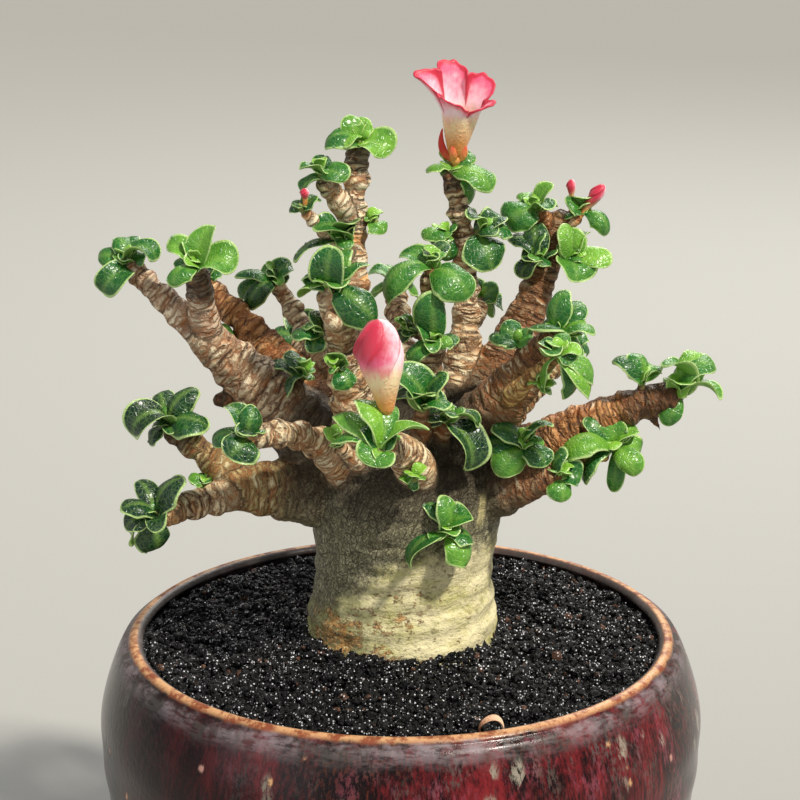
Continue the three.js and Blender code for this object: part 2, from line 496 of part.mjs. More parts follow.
// The bowl's outer radius at a height: a full curve up to the belly, then a gentler one in to the rim.
function wallRadius(height) {
  if (height > BELLY_HEIGHT) {
    const above = (height - BELLY_HEIGHT) / (RIM_HEIGHT - BELLY_HEIGHT);
    return BELLY_RADIUS - (BELLY_RADIUS - RIM_RADIUS) * above ** 2;
  }
  const below = (BELLY_HEIGHT - height) / BELLY_HEIGHT;
  return FOOT_RADIUS + (BELLY_RADIUS - FOOT_RADIUS) * (1 - below ** 2) ** BELLY_FULLNESS;
}

function innerRadius(height) {
  return wallRadius(height) - WALL;
}

// The bowl: a foot ring round a recess, the wall, a rounded lip, and a floor with a drain hole.
function bowlGeometry() {
  const recess = FOOT_RADIUS - FOOT_WIDTH;
  const lip = RIM_HEIGHT - LIP_ROUND;
  const profile = [
    [recess, 0], [FOOT_RADIUS, 0],
    ...WALL_HEIGHTS.map((height) => [wallRadius(height), height]),
    [wallRadius(lip), lip], [RIM_RADIUS - LIP_ROUND, RIM_HEIGHT],
    [innerRadius(RIM_HEIGHT) + LIP_ROUND, RIM_HEIGHT], [innerRadius(lip), lip],
    ...WALL_HEIGHTS.map((height) => [innerRadius(height), height]).reverse(),
    [innerRadius(FLOOR_TOP) - FLOOR_CORNER, FLOOR_TOP], [DRAIN_RADIUS, FLOOR_TOP],
    [DRAIN_RADIUS, FOOT_RECESS], [recess, FOOT_RECESS], [recess, 0],
  ];
  return latheGeometry(profile, POT_SIDES);
}

// A plastic mesh over the drain hole: a thin disc with a grid of square openings.
function drainMeshSolid() {
  const low = FLOOR_TOP + GAP;
  const high = low + MESH_THICKNESS;
  const disc = toSolid(latheGeometry([[0, low], [MESH_RADIUS, low], [MESH_RADIUS, high], [0, high]], 24));
  const cuts = [];
  for (let i = -1; i <= 1; i += 1) {
    for (let j = -1; j <= 1; j += 1) {
      const cut = new THREE.BoxGeometry(MESH_SLOT, MESH_SLOT, 4 * MESH_THICKNESS);
      cut.translate(i * MESH_PITCH, j * MESH_PITCH, low);
      cuts.push(toSolid(cut));
    }
  }
  return disc.subtract(union(cuts));
}

// Soil that fills the bowl, with a low mound round the trunk.
function soilSolid() {
  const meshTop = FLOOR_TOP + 2 * GAP + MESH_THICKNESS;
  const edgeHeight = RIM_HEIGHT - SOIL_EDGE_DROP;
  const edgeRadius = innerRadius(edgeHeight) - GAP;
  const moundRings = [74, 56, 40, 0];
  const profile = [
    [0, meshTop], [MESH_RADIUS + GAP, meshTop], [MESH_RADIUS + 2 * GAP, FLOOR_TOP + GAP],
    [innerRadius(FLOOR_TOP) - FLOOR_CORNER - GAP, FLOOR_TOP + GAP],
    ...WALL_HEIGHTS.map((height) => [innerRadius(height) - GAP, height]),
    ...moundRings.map((radius) => [radius, edgeHeight + SOIL_MOUND * (1 - (radius / edgeRadius) ** 2)]),
  ];
  return toSolid(latheGeometry(profile, POT_SIDES));
}

// A dried bud scale, curled into an arch, that lies on the soil against the rim.
function driedScaleSolid(grow) {
  const foot = new THREE.Vector3(28, -79.6, 115.5);
  const archRadius = 3.4;
  const centres = [180, 135, 90, 45, 0].map(
    (climb) => foot.clone().addScaledVector(direction(0, climb), archRadius));
  return toSolid(tubeGeometry(centres, [0.6, 0.9, 1, 0.9, 0.6], LIMB_SIDES, grow));
}

const grown = { trunk: growTrunk() };
for (const [name, limb] of Object.entries(limbs)) grown[name] = growLimb(limb);
const flowerSeat = shootFrame(shoots.tall_right).seat.add(new THREE.Vector3(1, 0, 8));

const placed = [];

// Makes a named piece from a solid, clear of everything placed before it.
function place(name, finish, build, keepsWholeShape = false) {
  let solid = build(0);
  const box = solid.boundingBox();
  for (const other of placed) {
    const near = [0, 1, 2].every((k) => box.min[k] < other.box.max[k] && box.max[k] > other.box.min[k]);
    if (near && !keepsWholeShape) solid = solid.subtract(other.keepOut);
  }
  const keepOut = build(GAP);
  placed.push({ name, finish, solid: largestBody(solid), keepOut, box: keepOut.boundingBox() });
}

place('caudex', 'bark', woodSolid);
place('soil', 'soil', soilSolid);
place('dried_scale', 'dry', driedScaleSolid, true);
place('flower_calyx', 'sepal', calyxSolid);
place('flower_corolla', 'petal', corollaSolid);
for (const [name, bud] of Object.entries(buds)) {
  const seat = grown[bud.on].spine.getPoint(1).add(toVector(bud.offset));
  place(name, 'petal', (grow) => budSolid(seat, direction(bud.heading, bud.climb), bud, grow));
}
for (const [name, shoot] of Object.entries(shoots)) {
  place(`leaves_${name}`, 'leaf', (grow) => shootSolid(shoot, grow));
}

function namedMesh(name, finish, geometry) {
  const mesh = new THREE.Mesh(geometry, new THREE.MeshStandardMaterial(finishes[finish]));
  mesh.name = name;
  return mesh;
}

const plant = new THREE.Group();
for (const piece of placed) plant.add(namedMesh(piece.name, piece.finish, toGeometry(piece.solid)));

const group = new THREE.Group();
group.add(namedMesh('pot', 'glaze', bowlGeometry()));
group.add(namedMesh('drain_mesh', 'mesh', toGeometry(drainMeshSolid())));
group.add(plant);

export default group;
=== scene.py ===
"""Looks of a potted desert rose.

A glazed bowl holds black granular soil and a swollen trunk with ringed limbs. Shoots of curled
glossy leaves end the limbs, with one open flower and four buds. The plan's lengths are millimetres,
in the frame's own axes, and become metres when a piece is made. A direction is a heading about +Z
from +X, and a climb above the horizontal, both in degrees.
"""

import logging
import math
from collections.abc import Callable, Iterable
from dataclasses import dataclass, field
from enum import Enum
from itertools import combinations

import bpy
import numpy as np
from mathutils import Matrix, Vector, noise


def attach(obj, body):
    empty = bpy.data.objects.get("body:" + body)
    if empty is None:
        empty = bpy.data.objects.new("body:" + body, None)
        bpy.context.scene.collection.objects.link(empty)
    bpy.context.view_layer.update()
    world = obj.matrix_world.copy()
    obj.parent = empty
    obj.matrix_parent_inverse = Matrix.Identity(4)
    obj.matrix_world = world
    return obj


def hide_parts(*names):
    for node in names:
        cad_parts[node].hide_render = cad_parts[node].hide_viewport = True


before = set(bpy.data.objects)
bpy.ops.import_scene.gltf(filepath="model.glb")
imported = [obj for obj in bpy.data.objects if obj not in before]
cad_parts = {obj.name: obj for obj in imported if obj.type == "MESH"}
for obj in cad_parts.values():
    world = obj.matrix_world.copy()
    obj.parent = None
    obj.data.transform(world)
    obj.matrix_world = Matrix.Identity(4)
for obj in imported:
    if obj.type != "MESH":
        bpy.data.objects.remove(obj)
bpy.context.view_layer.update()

Array = np.ndarray
Rgb = tuple[float, float, float]
Faces = list[tuple[int, ...]]
Material = bpy.types.Material
Mesh = bpy.types.Mesh
Piece = bpy.types.Object
Rng = np.random.Generator

MM = 0.001
SEED = 7
UP = np.array([0.0, 0.0, 1.0])
RIM_HEIGHT = 120.0
RIM_RADIUS = 92.0
CAP_ANGLES = (30.0, 60.0, 80.0)
DROP_ANGLES = (-60.0, -20.0, 20.0, 50.0, 72.0)
STEEP = 0.7
log = logging.getLogger("desert_rose")


def tint(code: str) -> Rgb:
    """Turns a display colour into the linear one that shaders use.

    Args:
        code: Six hexadecimal digits, two each for red, green and blue.

    Returns:
        The linear red, green and blue.
    """
    shares = [int(code[i:i + 2], 16) / 255 for i in (0, 2, 4)]
    return tuple(c / 12.92 if c <= 0.04045 else ((c + 0.055) / 1.055) ** 2.4 for c in shares)


def unit(vector: Array) -> Array:
    """Scales vectors to length one."""
    return vector / np.linalg.norm(vector, axis=-1, keepdims=True)


def ease(value: Array, low: float, high: float) -> Array:
    """Rises smoothly from 0 at low to 1 at high."""
    share = np.clip((value - low) / (high - low), 0, 1)
    return share * share * (3 - 2 * share)


def direction(heading: float, climb: float) -> Array:
    """Gives the unit vector of a direction.

    Args:
        heading: The degrees about +Z from +X.
        climb: The degrees above the horizontal.

    Returns:
        The vector.
    """
    turn, rise = math.radians(heading), math.radians(climb)
    level = math.cos(rise)
    return np.array([math.cos(turn) * level, math.sin(turn) * level, math.sin(rise)])


def circle(count: int) -> Array:
    """Gives evenly spaced angles round a full turn, in radians."""
    return np.linspace(0, 2 * math.pi, count, endpoint=False)


def turned(first: Array, second: Array, angle: Array | float) -> tuple[Array, Array]:
    """Turns two axes towards each other's places by an angle in radians."""
    cos, sin = np.cos(angle), np.sin(angle)
    return first * cos + second * sin, second * cos - first * sin


def sideways_from(line: Array) -> Array:
    """Gives a level axis that isn't along a unit direction: +Y, or +X where that is near Y."""
    return np.array([0.0, 1.0, 0.0]) if abs(line[1]) < STEEP else np.array([1.0, 0.0, 0.0])


def speckle(points: Array, size: float, seed: float = 0.0) -> Array:
    """Samples smooth noise from -1 to 1 at points.

    Args:
        points: Places in millimetres.
        size: The width of one swelling of the noise, in millimetres.
        seed: Shifts the noise to another part of itself.

    Returns:
        One value for each point.
    """
    shift = Vector((seed, 2.3 * seed, -seed))
    return np.array([noise.noise(Vector(p) / size + shift) for p in points])


# --- Shaders ---


class Wire:
    """A node's output, which takes part in arithmetic with numbers, colours and other outputs."""

    def __init__(self, shade: "Shade", socket: bpy.types.NodeSocket) -> None:
        """Wraps one output socket of a shade's tree."""
        self.shade = shade
        self.socket = socket

    def _join(self, operation: str, left: "Term", right: "Term") -> "Wire":
        """Joins two terms with a Math node, or Vector Math where either is a colour or a vector.

        Args:
            operation: The node's operation.
            left: The first term.
            right: The second term.

        Returns:
            The node's result.
        """
        wide = any(
            isinstance(term, tuple) or (isinstance(term, Wire) and term.socket.type != "VALUE")
            for term in (left, right)
        )
        kind = "ShaderNodeVectorMath" if wide else "ShaderNodeMath"
        return self.shade.node(kind, {"operation": operation}, {0: left, 1: right})

    def __add__(self, other: "Term") -> "Wire":
        """Adds a term."""
        return self._join("ADD", self, other)

    def __sub__(self, other: "Term") -> "Wire":
        """Takes a term away."""
        return self._join("SUBTRACT", self, other)

    def __rsub__(self, other: "Term") -> "Wire":
        """Takes this away from a term."""
        return self._join("SUBTRACT", other, self)

    def __mul__(self, other: "Term") -> "Wire":
        """Multiplies by a term."""
        return self._join("MULTIPLY", self, other)

    __radd__ = __add__
    __rmul__ = __mul__

    def bend(self, operation: str, other: "Term" = 0.0) -> "Wire":
        """Passes a value through another Math operation."""
        return self.shade.node("ShaderNodeMath", {"operation": operation}, {0: self, 1: other})

    def ease(self, low: float, high: float) -> "Wire":
        """Steps smoothly from 0 to 1 as this value goes from low to high.

        Args:
            low: Where the step starts.
            high: Where it ends, which may be below low.

        Returns:
            The step.
        """
        if low > high:
            return 1.0 - self.ease(high, low)
        smooth = {"interpolation_type": "SMOOTHSTEP"}
        inputs = {"Value": self, "From Min": low, "From Max": high}
        return self.shade.node("ShaderNodeMapRange", smooth, inputs, "Result")

    def parts(self) -> tuple["Wire", "Wire", "Wire"]:
        """Splits a vector into its three values."""
        split = self.shade.node("ShaderNodeSeparateXYZ", {}, {0: self}).socket.node
        return tuple(Wire(self.shade, output) for output in split.outputs)


Term = Wire | float | Rgb


class Shade:
    """A material whose nodes are written as expressions."""

    def __init__(self, name: str) -> None:
        """Starts an empty material.

        Args:
            name: The material's name.
        """
        self.material = bpy.data.materials.new(name)
        self.material.use_nodes = True
        self.tree = self.material.node_tree
        self.tree.nodes.clear()

    def node(self, kind: str, settings: dict[str, object], inputs: dict[int | str, Term],
             output: int | str = 0) -> Wire | None:
        """Adds a node.

        Args:
            kind: The node's type.
            settings: Its properties, such as a Math node's operation, which are set first.
            inputs: A value or a wire for each input, by name or number.
            output: The output to return.

        Returns:
            The output, or None for a node that has none.
        """
        made = self.tree.nodes.new(kind)
        for key, value in settings.items():
            setattr(made, key, value)
        for key, value in inputs.items():
            socket = made.inputs[key]
            if isinstance(value, Wire):
                self.tree.links.new(value.socket, socket)
            elif socket.type == "RGBA":
                socket.default_value = (*value, 1.0)
            elif socket.type == "VECTOR" and not isinstance(value, tuple):
                socket.default_value = (value, value, value)
            else:
                socket.default_value = value
        return Wire(self, made.outputs[output]) if made.outputs else None

    def place(self) -> Wire:
        """Gives the place on the surface, in millimetres in the frame."""
        return self.node("ShaderNodeTexCoord", {}, {}, "Object") * (1 / MM)

    def value(self, name: str) -> Wire:
        """Gives a vector that the mesh stores at its points."""
        return self.node("ShaderNodeAttribute", {"attribute_name": name}, {}, "Vector")

    def colour(self, name: str) -> Wire:
        """Gives a colour that the mesh stores at its points."""
        return self.node("ShaderNodeAttribute", {"attribute_name": name}, {}, "Color")

    def mix(self, share: Term, low: Term, high: Term) -> Wire:
        """Blends two colours.

        Args:
            share: 0 for the first colour, 1 for the second.
            low: The first colour.
            high: The second colour.

        Returns:
            The blend.
        """
        return self.node("ShaderNodeMix", {"data_type": "RGBA"}, {0: share, 6: low, 7: high}, 2)

    def cloud(self, place: Wire, size: float, detail: float = 3.0, rough: float = 0.55) -> Wire:
        """Gives cloudy noise from 0 to 1.

        Args:
            place: Where on the surface, in millimetres.
            size: The width of its largest blots, in millimetres.
            detail: How many finer layers it has.
            rough: How strong the finer layers are.

        Returns:
            The noise.
        """
        inputs = {"Vector": place, "Scale": 1 / size, "Detail": detail, "Roughness": rough}
        return self.node("ShaderNodeTexNoise", {}, inputs)

    def cells(self, place: Wire, size: float, feature: str = "F1",
              output: str = "Distance") -> Wire:
        """Gives a pattern of cells.

        Args:
            place: Where on the surface, in millimetres.
            size: The width of a cell, in millimetres.
            feature: F1 counts from a cell's centre, DISTANCE_TO_EDGE from its edge.
            output: Distance, in cell widths, or Color, one for each cell.

        Returns:
            The pattern.
        """
        inputs = {"Vector": place, "Scale": 1 / size}
        return self.node("ShaderNodeTexVoronoi", {"feature": feature}, inputs, output)

    def bump(self, height: Wire, depth: float) -> Wire:
        """Turns a height from 0 to 1 into a normal.

        Args:
            height: The height.
            depth: The millimetres that a height of 1 stands for.

        Returns:
            The normal.
        """
        return self.node("ShaderNodeBump", {}, {"Height": height, "Distance": depth * MM}, "Normal")

    def finish(self, **inputs: Term) -> Material:
        """Ends the material with a surface.

        Args:
            **inputs: The surface's sockets, with an underscore for each space.

        Returns:
            The material.
        """
        named = {key.replace("_", " "): value for key, value in inputs.items()}
        surface = self.node("ShaderNodeBsdfPrincipled", {}, named)
        self.node("ShaderNodeOutputMaterial", {}, {"Surface": surface})
        return self.material


@dataclass(frozen=True)
class GlazeFinish:
    """Oxblood glaze with streaks, drips, a tan lip and a pale rim band that is partly painted
    sheen.
    """

    oxblood: Rgb = tint("7c2226")
    black: Rgb = tint("120708")
    brown: Rgb = tint("6e3420")
    wine: Rgb = tint("8a4a58")
    slate: Rgb = tint("55504c")
    pale_mottle_and_sheen: Rgb = tint("94868a")
    ash: Rgb = tint("9a9484")
    tan: Rgb = tint("dba878")
    rust: Rgb = tint("8c4a2e")
    blush: Rgb = tint("d09a8c")
    fleck: float = 1.1
    blotch_spacing: float = 7.0
    spot_spacing: float = 8.5
    drip_spacing: float = 23.0
    lip: float = 1.8
    wall: float = 4.3

    def body(self, s: Shade, place: Wire, below: Wire, run: Wire) -> tuple[Wire, Wire]:
        """Colours the wall with its streaks, spots and drips.

        Args:
            s: The material.
            place: Where on the surface, in millimetres.
            below: How far below the rim, in millimetres.
            run: Fine noise drawn out downwards.

        Returns:
            The colour, and how strongly the spots and drips stand out.
        """
        tall = place * (1.0, 1.0, 0.3)
        broad = s.cloud(place * (1.0, 1.0, 0.35), 17.0, 4.0, 0.6)
        fleck = s.cloud(tall, self.fleck, 4.0, 0.75)
        tone = (run * 0.6 + broad * 0.75).ease(0.58, 0.84)
        colour = s.mix(tone * (0.35 + fleck * 1.1), self.black, self.oxblood)
        wine = s.cloud(tall, 9.0, 4.0, 0.65).ease(0.52, 0.68) * fleck.ease(0.42, 0.58)
        colour = s.mix(wine * 0.6, colour, self.wine)
        slate = s.cloud(tall + 40.0, 11.0, 4.0, 0.65).ease(0.5, 0.66) * fleck.ease(0.45, 0.6)
        colour = s.mix(slate * 0.7, colour, self.slate)
        colour = s.mix(broad.ease(0.5, 0.36) * fleck.ease(0.5, 0.62) * 0.5, colour, self.brown)
        mottled = place * (1.0, 1.0, 0.45) + fleck * 3.0 + broad * 6.0
        chosen = s.cells(mottled, self.blotch_spacing, output="Color").parts()[0].ease(0.62, 0.66)
        blotch = s.cells(mottled, self.blotch_spacing).ease(0.4, 0.22) * chosen
        blotch = blotch * below.ease(3.0, 9.0)
        colour = s.mix(blotch * fleck.ease(0.36, 0.56) * 0.85, colour, self.ash)
        # Painted shade: the wall darkens towards black on its left side, away from the light.
        painted_shade_left = (place.parts()[0] + broad * 60.0 - 30.0).ease(-5.0, -70.0)
        colour = s.mix(painted_shade_left * 0.78, colour, self.black)
        wide = place * (1.0, 1.0, 0.75) + fleck * 2.4
        pick, choice, _ = s.cells(wide, self.spot_spacing, output="Color").parts()
        spot = s.cells(wide, self.spot_spacing).ease(0.17, 0.09) * pick.ease(0.4, 0.44)
        spot = spot * below.ease(5.0, 8.0)
        colour = s.mix(spot * 0.75, colour, s.mix(choice.ease(0.4, 0.6), self.blush, self.tan))
        large, chance, _ = s.cells(wide, self.drip_spacing, output="Color").parts()
        core = s.cells(wide, self.drip_spacing)
        drip = core.ease(0.19, 0.14) * large.ease(0.22, 0.26)
        drip = drip * below.ease(15.0, 20.0) * below.ease(56.0, 42.0)
        tail = (core + chance * 0.05).ease(0.08, 0.14)
        colour = s.mix(drip * 0.8, colour, s.mix(tail, self.tan, self.rust))
        return colour, (spot + drip).bend("MINIMUM", 1.0)

    def material(self) -> Material:
        """Makes the glaze.

        Returns:
            The material.
        """
        s = Shade("oxblood_glaze")
        place = s.place()
        height = place.parts()[2]
        level_place = place * (1.0, 1.0, 0.0)
        ring = s.node("ShaderNodeVectorMath", {"operation": "LENGTH"}, {0: level_place}, "Value")
        run = s.cloud(place * (1.0, 1.0, 0.09), self.fleck, 5.0, 0.75)
        wave = s.cloud(place * (1.0, 1.0, 0.3), 10.0, 4.0, 0.6)
        below = RIM_HEIGHT - height
        colour, raised = self.body(s, place, below, run)
        level = below + wave * 9.0 - 4.5
        smear = s.cloud(place * (0.25, 0.25, 1.0), 1.6, 4.0, 0.7)
        # The pale band under the rim is partly the glaze's own mottling and partly painted
        # reflection.
        mottle_and_sheen = smear.ease(0.35, 0.6) * 0.55 + wave * 0.2
        band = level.ease(0.5, 3.0) * level.ease(10.0, 3.5) * mottle_and_sheen
        colour = s.mix(band, colour, s.mix(wave.ease(0.4, 0.6), self.slate, self.pale_mottle_and_sheen))
        ragged = s.cloud(place, 6.0, 5.0, 0.7)
        lip = height + ragged * (2 * self.lip) - self.lip
        lip = lip.ease(RIM_HEIGHT - self.lip, RIM_HEIGHT - 0.3)
        outside = ring.ease(RIM_RADIUS - self.wall, RIM_RADIUS - 3.0)
        bare = s.mix(ragged.ease(0.42, 0.6), self.tan, self.rust)
        colour = s.mix(lip * outside * 0.9, colour, bare)
        colour = s.mix((1.0 - outside) * level.ease(6.0, 1.0) * 0.7, colour, self.slate)
        rough = 0.16 + band * 0.4 + raised * 0.15 + lip * 0.25
        dimple = s.bump(s.cloud(place, 1.8, 2.0) * 0.6 + run * 0.35 + raised * 2.2, 0.2)
        return s.finish(Base_Color=colour, Roughness=rough, Normal=dimple, Coat_Weight=0.05,
                        Coat_Roughness=0.08, Specular_IOR_Level=0.24)


@dataclass(frozen=True)
class SoilFinish:
    """Damp black granules, a few of them brown, with painted glints on some facets."""

    black: Rgb = tint("030304")
    grey: Rgb = tint("100f11")
    painted_glint: Rgb = tint("f6f6fa")
    brown: Rgb = tint("5a3c2b")
    facet: float = 0.75
    brown_from: float = 0.975

    def material(self) -> Material:
        """Makes the soil.

        Returns:
            The material.
        """
        s = Shade("black_granules")
        place = s.place()
        grain = s.cloud(place, 0.8, 4.0, 0.7)
        kind = s.value("grain").parts()[0]
        colour = s.mix(grain.ease(0.45, 0.75), self.black, self.grey)
        brown = kind.ease(self.brown_from, self.brown_from + 0.01)
        colour = s.mix(brown * grain.ease(0.3, 0.5), colour, self.brown)
        # Painted glints: pale specks on a few smoother facets stand in for light caught by wet
        # grains.
        pick, bright, _ = s.cells(place, self.facet, output="Color").parts()
        facet = s.cells(place, self.facet)
        glint = pick.ease(0.8, 0.84) * facet.ease(0.48, 0.36)
        colour = s.mix(glint * (0.25 + bright * 0.75), colour, self.painted_glint)
        return s.finish(Base_Color=colour, Roughness=0.55 - glint * 0.35, Specular_IOR_Level=0.3,
                        Normal=s.bump(grain * 0.8 - facet * 0.7, 0.5))


@dataclass(frozen=True)
class BarkFinish:
    """Living skin of the trunk and limbs.

    The trunk is olive-cream with level wrinkles and orange flakes below a slanting edge, and grey
    with fine cracks above it; the edge and the darker grey are partly a painted shadow of the
    crown.
    The trunk darkens towards the limbs, partly its own bark and partly painted shade, and has
    painted shade on its lower left. The limbs have their own colours, wide plates, ring scars and
    dark collars, with painted highlights on the plates and painted shade at their bases and joints.
    """

    cream: Rgb = tint("f2e6b6")
    olive: Rgb = tint("cdc680")
    dark_olive: Rgb = tint("8f9050")
    ochre: Rgb = tint("cf9048")
    grey: Rgb = tint("bcb692")
    stone: Rgb = tint("868060")
    crack: Rgb = tint("36241a")
    # Dark brown of the trunk's top and the limbs' collars, also laid on as painted shade under the
    # crown and at joints.
    crown: Rgb = tint("34261a")
    rust: Rgb = tint("b3682f")
    # Pale pinkish cream laid on the limbs' plates as a painted highlight.
    blush: Rgb = tint("f6e4c4")
    straw: Rgb = tint("d9cc92")
    edge_height: float = 156.5
    edge_slope: float = 0.9
    ring_spacing: float = 3.3
    plate_height: float = 2.25
    crack_spacing: float = 2.5
    fine_spacing: float = 1.15

    def lower_skin(self, s: Shade, place: Wire) -> tuple[Wire, Wire]:
        """Colours the trunk's lower part: level wrinkles, orange flakes, and painted shade on its
        left.

        Args:
            s: The material.
            place: Where on the surface, in millimetres.

        Returns:
            The colour, and the height for the bump.
        """
        x, _, z = place.parts()
        warp = s.cloud(place, 9.0, 3.0)
        bands = s.cloud(place * (0.3, 0.3, 1.0) + warp * 4.0, 3.4, 5.0, 0.7)
        fine = s.cloud(place * (0.6, 0.6, 1.0), 0.9, 4.0, 0.75)
        patch = s.cloud(place * (0.7, 0.7, 1.0), 13.0, 5.0, 0.65)
        colour = s.mix((bands * 0.6 + patch * 0.7).ease(0.5, 0.72), self.olive, self.cream)
        # Darker olive patches: partly the skin's own tone at random, partly painted shade on the
        # left side.
        colour = s.mix((patch - x * 0.011).ease(0.56, 0.78) * 0.75, colour, self.dark_olive)
        colour = s.mix(fine.ease(0.5, 0.32) * 0.55, colour, self.stone)
        colour = s.mix(bands.ease(0.42, 0.34) * 0.45, colour, self.crack)
        flakes = s.cloud(place * (0.6, 0.6, 1.0), 2.4, 5.0, 0.8)
        foot = (z + x * 0.3).ease(130.0, 116.0) * x.ease(16.0, -4.0) * x.ease(-31.0, -22.0)
        slant = z - x * 0.3
        middle = slant.ease(128.0, 134.0) * slant.ease(148.0, 140.0) * x.ease(14.0, 4.0)
        raised = (flakes + foot * 0.17 + middle * 0.08).ease(0.6, 0.68)
        # Painted shade: the trunk's lower left, away from the light, turns darker olive.
        painted_shade_low_left = (z - x * 0.5).ease(150.0, 116.0) * x.ease(16.0, -26.0)
        colour = s.mix(painted_shade_low_left * 0.45, colour, self.dark_olive)
        flake = s.mix(fine.ease(0.38, 0.54), self.rust, self.ochre)
        colour = s.mix(raised * (0.35 + fine * 0.75), colour, flake)
        # Cream flecks on the raised flakes are a painted highlight.
        colour = s.mix(raised * fine.ease(0.54, 0.62) * 0.7, colour, self.cream)
        colour = s.mix(raised * fine.ease(0.46, 0.38) * 0.75, colour, self.crack)
        return colour, bands * 0.8 + fine * 0.55 + raised * 0.6

    def upper_skin(self, s: Shade, place: Wire) -> tuple[Wire, Wire]:
        """Colours the trunk's upper part: cracked grey, partly painted shadow, darker towards the
        limbs.

        Args:
            s: The material.
            place: Where on the surface, in millimetres.

        Returns:
            The colour, and the height for the bump.
        """
        x, y, z = place.parts()
        drift = s.cloud(place, 6.0, 4.0, 0.6)
        grain = s.cloud(place, 0.9, 4.0, 0.75)
        warped = place * (1.0, 1.0, 0.75) + drift * 9.0 + grain * 1.2
        lines = s.cells(warped, self.crack_spacing, "DISTANCE_TO_EDGE").ease(0.0, 0.09)
        mesh = s.cells(warped, self.fine_spacing, "DISTANCE_TO_EDGE").ease(0.0, 0.14)
        broken = drift.ease(0.35, 0.6)
        colour = s.mix((grain * 0.7 + drift * 0.6).ease(0.46, 0.76), self.stone, self.grey)
        colour = s.mix((1.0 - lines) * (0.25 + broken * 0.5), colour, self.crack)
        colour = s.mix((1.0 - mesh) * 0.45, colour, self.crack)
        # Darker towards the limbs: partly the trunk's own dark bark, partly painted shade under the
        # crown.
        colour = s.mix((z + drift * 30.0 - 15.0).ease(158.0, 180.0) * 0.85, colour, self.crown)
        seam = (x + drift * 2.4 - z * 0.1 - 10.4).bend("ABSOLUTE").ease(1.5, 0.7)
        scar = seam * z.ease(163.0, 167.0) * z.ease(177.0, 173.0) * y.ease(0.0, -4.0)
        colour = s.mix(scar * 0.85, colour, self.straw)
        return colour, lines * 0.45 + mesh * 0.3 + grain * 0.5

    def trunk(self, s: Shade, place: Wire) -> tuple[Wire, Wire]:
        """Colours the trunk.

        Args:
            s: The material.
            place: Where on the surface, in millimetres.

        Returns:
            The colour, and the height for the bump.
        """
        x, _, z = place.parts()
        # The slanting edge and the darker grey above it are partly a painted shadow cast by the
        # crown.
        ragged = s.cloud(place, 5.0, 5.0, 0.7) - 0.5
        edge = self.edge_height + x.bend("MINIMUM", 0.0) * self.edge_slope
        share = (z - edge + ragged * 24.0).ease(-5.0, 4.0)
        low_colour, low_height = self.lower_skin(s, place)
        high_colour, high_height = self.upper_skin(s, place)
        height = low_height + share * (high_height - low_height)
        return s.mix(share, low_colour, high_colour), height

    def limbs(self, s: Shade, place: Wire, dark: Wire, rings: Wire) -> tuple[Wire, Wire]:
        """Colours the limbs, whose skin is split into low wide plates with rusty creases between.

        Args:
            s: The material.
            place: Where on the surface, in millimetres.
            dark: How dark the skin is, from 0 to 1: dark collars, and painted shade at bases and
                joints.
            rings: How strong the ring scars are, from 0 to 1.

        Returns:
            The colour, and the height for the bump.
        """
        skin = s.value("skin")
        warp = s.cloud(place, 3.2, 3.0)
        grain = s.cloud(place, 0.9, 4.0, 0.7)
        blots = s.cloud(place, 7.0, 4.0, 0.6)
        plates = skin * (0.34, 0.34, 1.0) + warp * 3.0 + grain * 0.7
        edge = s.cells(plates, self.plate_height, "DISTANCE_TO_EDGE")
        own, other, _ = s.cells(plates, self.plate_height, output="Color").parts()
        wrinkle = s.cloud(skin * (0.35, 0.35, 1.0) + warp, 1.1, 3.0, 0.6)
        along = skin.parts()[2] * (2 * math.pi / self.ring_spacing)
        crest = 0.5 - (along + warp * 2.0 - 1.0).bend("COSINE") * 0.5
        groove = crest.ease(0.3, 0.0) * rings * blots.ease(0.38, 0.58)
        crease = edge.ease(0.12, 0.0) * (0.35 + rings * 0.65) * blots.ease(0.2, 0.55)
        tone = own * 0.4 + blots * 0.9 + wrinkle * 0.8 + grain * 0.4 - 0.8
        colour = s.mix(tone.ease(0.0, 0.6), s.colour("deep"), s.colour("pale"))
        colour = s.mix(edge.ease(0.24, 0.06) * (0.25 + other * 0.5), colour, self.rust)
        # Painted highlight: pale pinkish cream on the crowns of some plates.
        painted_highlight = own.ease(0.5, 0.9) * edge.ease(0.1, 0.3) * wrinkle.ease(0.4, 0.6)
        colour = s.mix(painted_highlight * 0.7, colour, self.blush)
        # Collars are the bark's own dark colour; the rest of this darkening is painted shade at the
        # limbs' bases and joints.
        shade = (dark + blots * 0.5 - 0.25).ease(0.2, 0.75) * dark.ease(0.0, 0.3)
        colour = s.mix(shade * (0.25 + wrinkle * 0.9), colour, self.crown)
        colour = s.mix((crease * 0.8 + groove * 0.5).bend("MINIMUM", 0.9), colour, self.crack)
        burnt = s.mix(other * 0.6, self.rust, self.crack)
        colour = s.mix(wrinkle.ease(0.44, 0.32) * 0.6, colour, burnt)
        height = edge.ease(0.0, 0.3) * 0.7 + wrinkle * 0.4 + grain * 0.4 - groove * 0.4
        return colour, height

    def material(self) -> Material:
        """Makes the bark.

        Returns:
            The material.
        """
        s = Shade("living_bark")
        place = s.place()
        trunk_share, dark, rings = s.value("marks").parts()
        limb_colour, limb_height = self.limbs(s, place, dark, rings)
        trunk_colour, trunk_height = self.trunk(s, place)
        colour = s.mix(trunk_share, limb_colour, trunk_colour)
        height = limb_height + trunk_share * (trunk_height - limb_height)
        return s.finish(Base_Color=colour, Roughness=0.7 - height * 0.22,
                        Normal=s.bump(height, 1.1), Specular_IOR_Level=0.4)


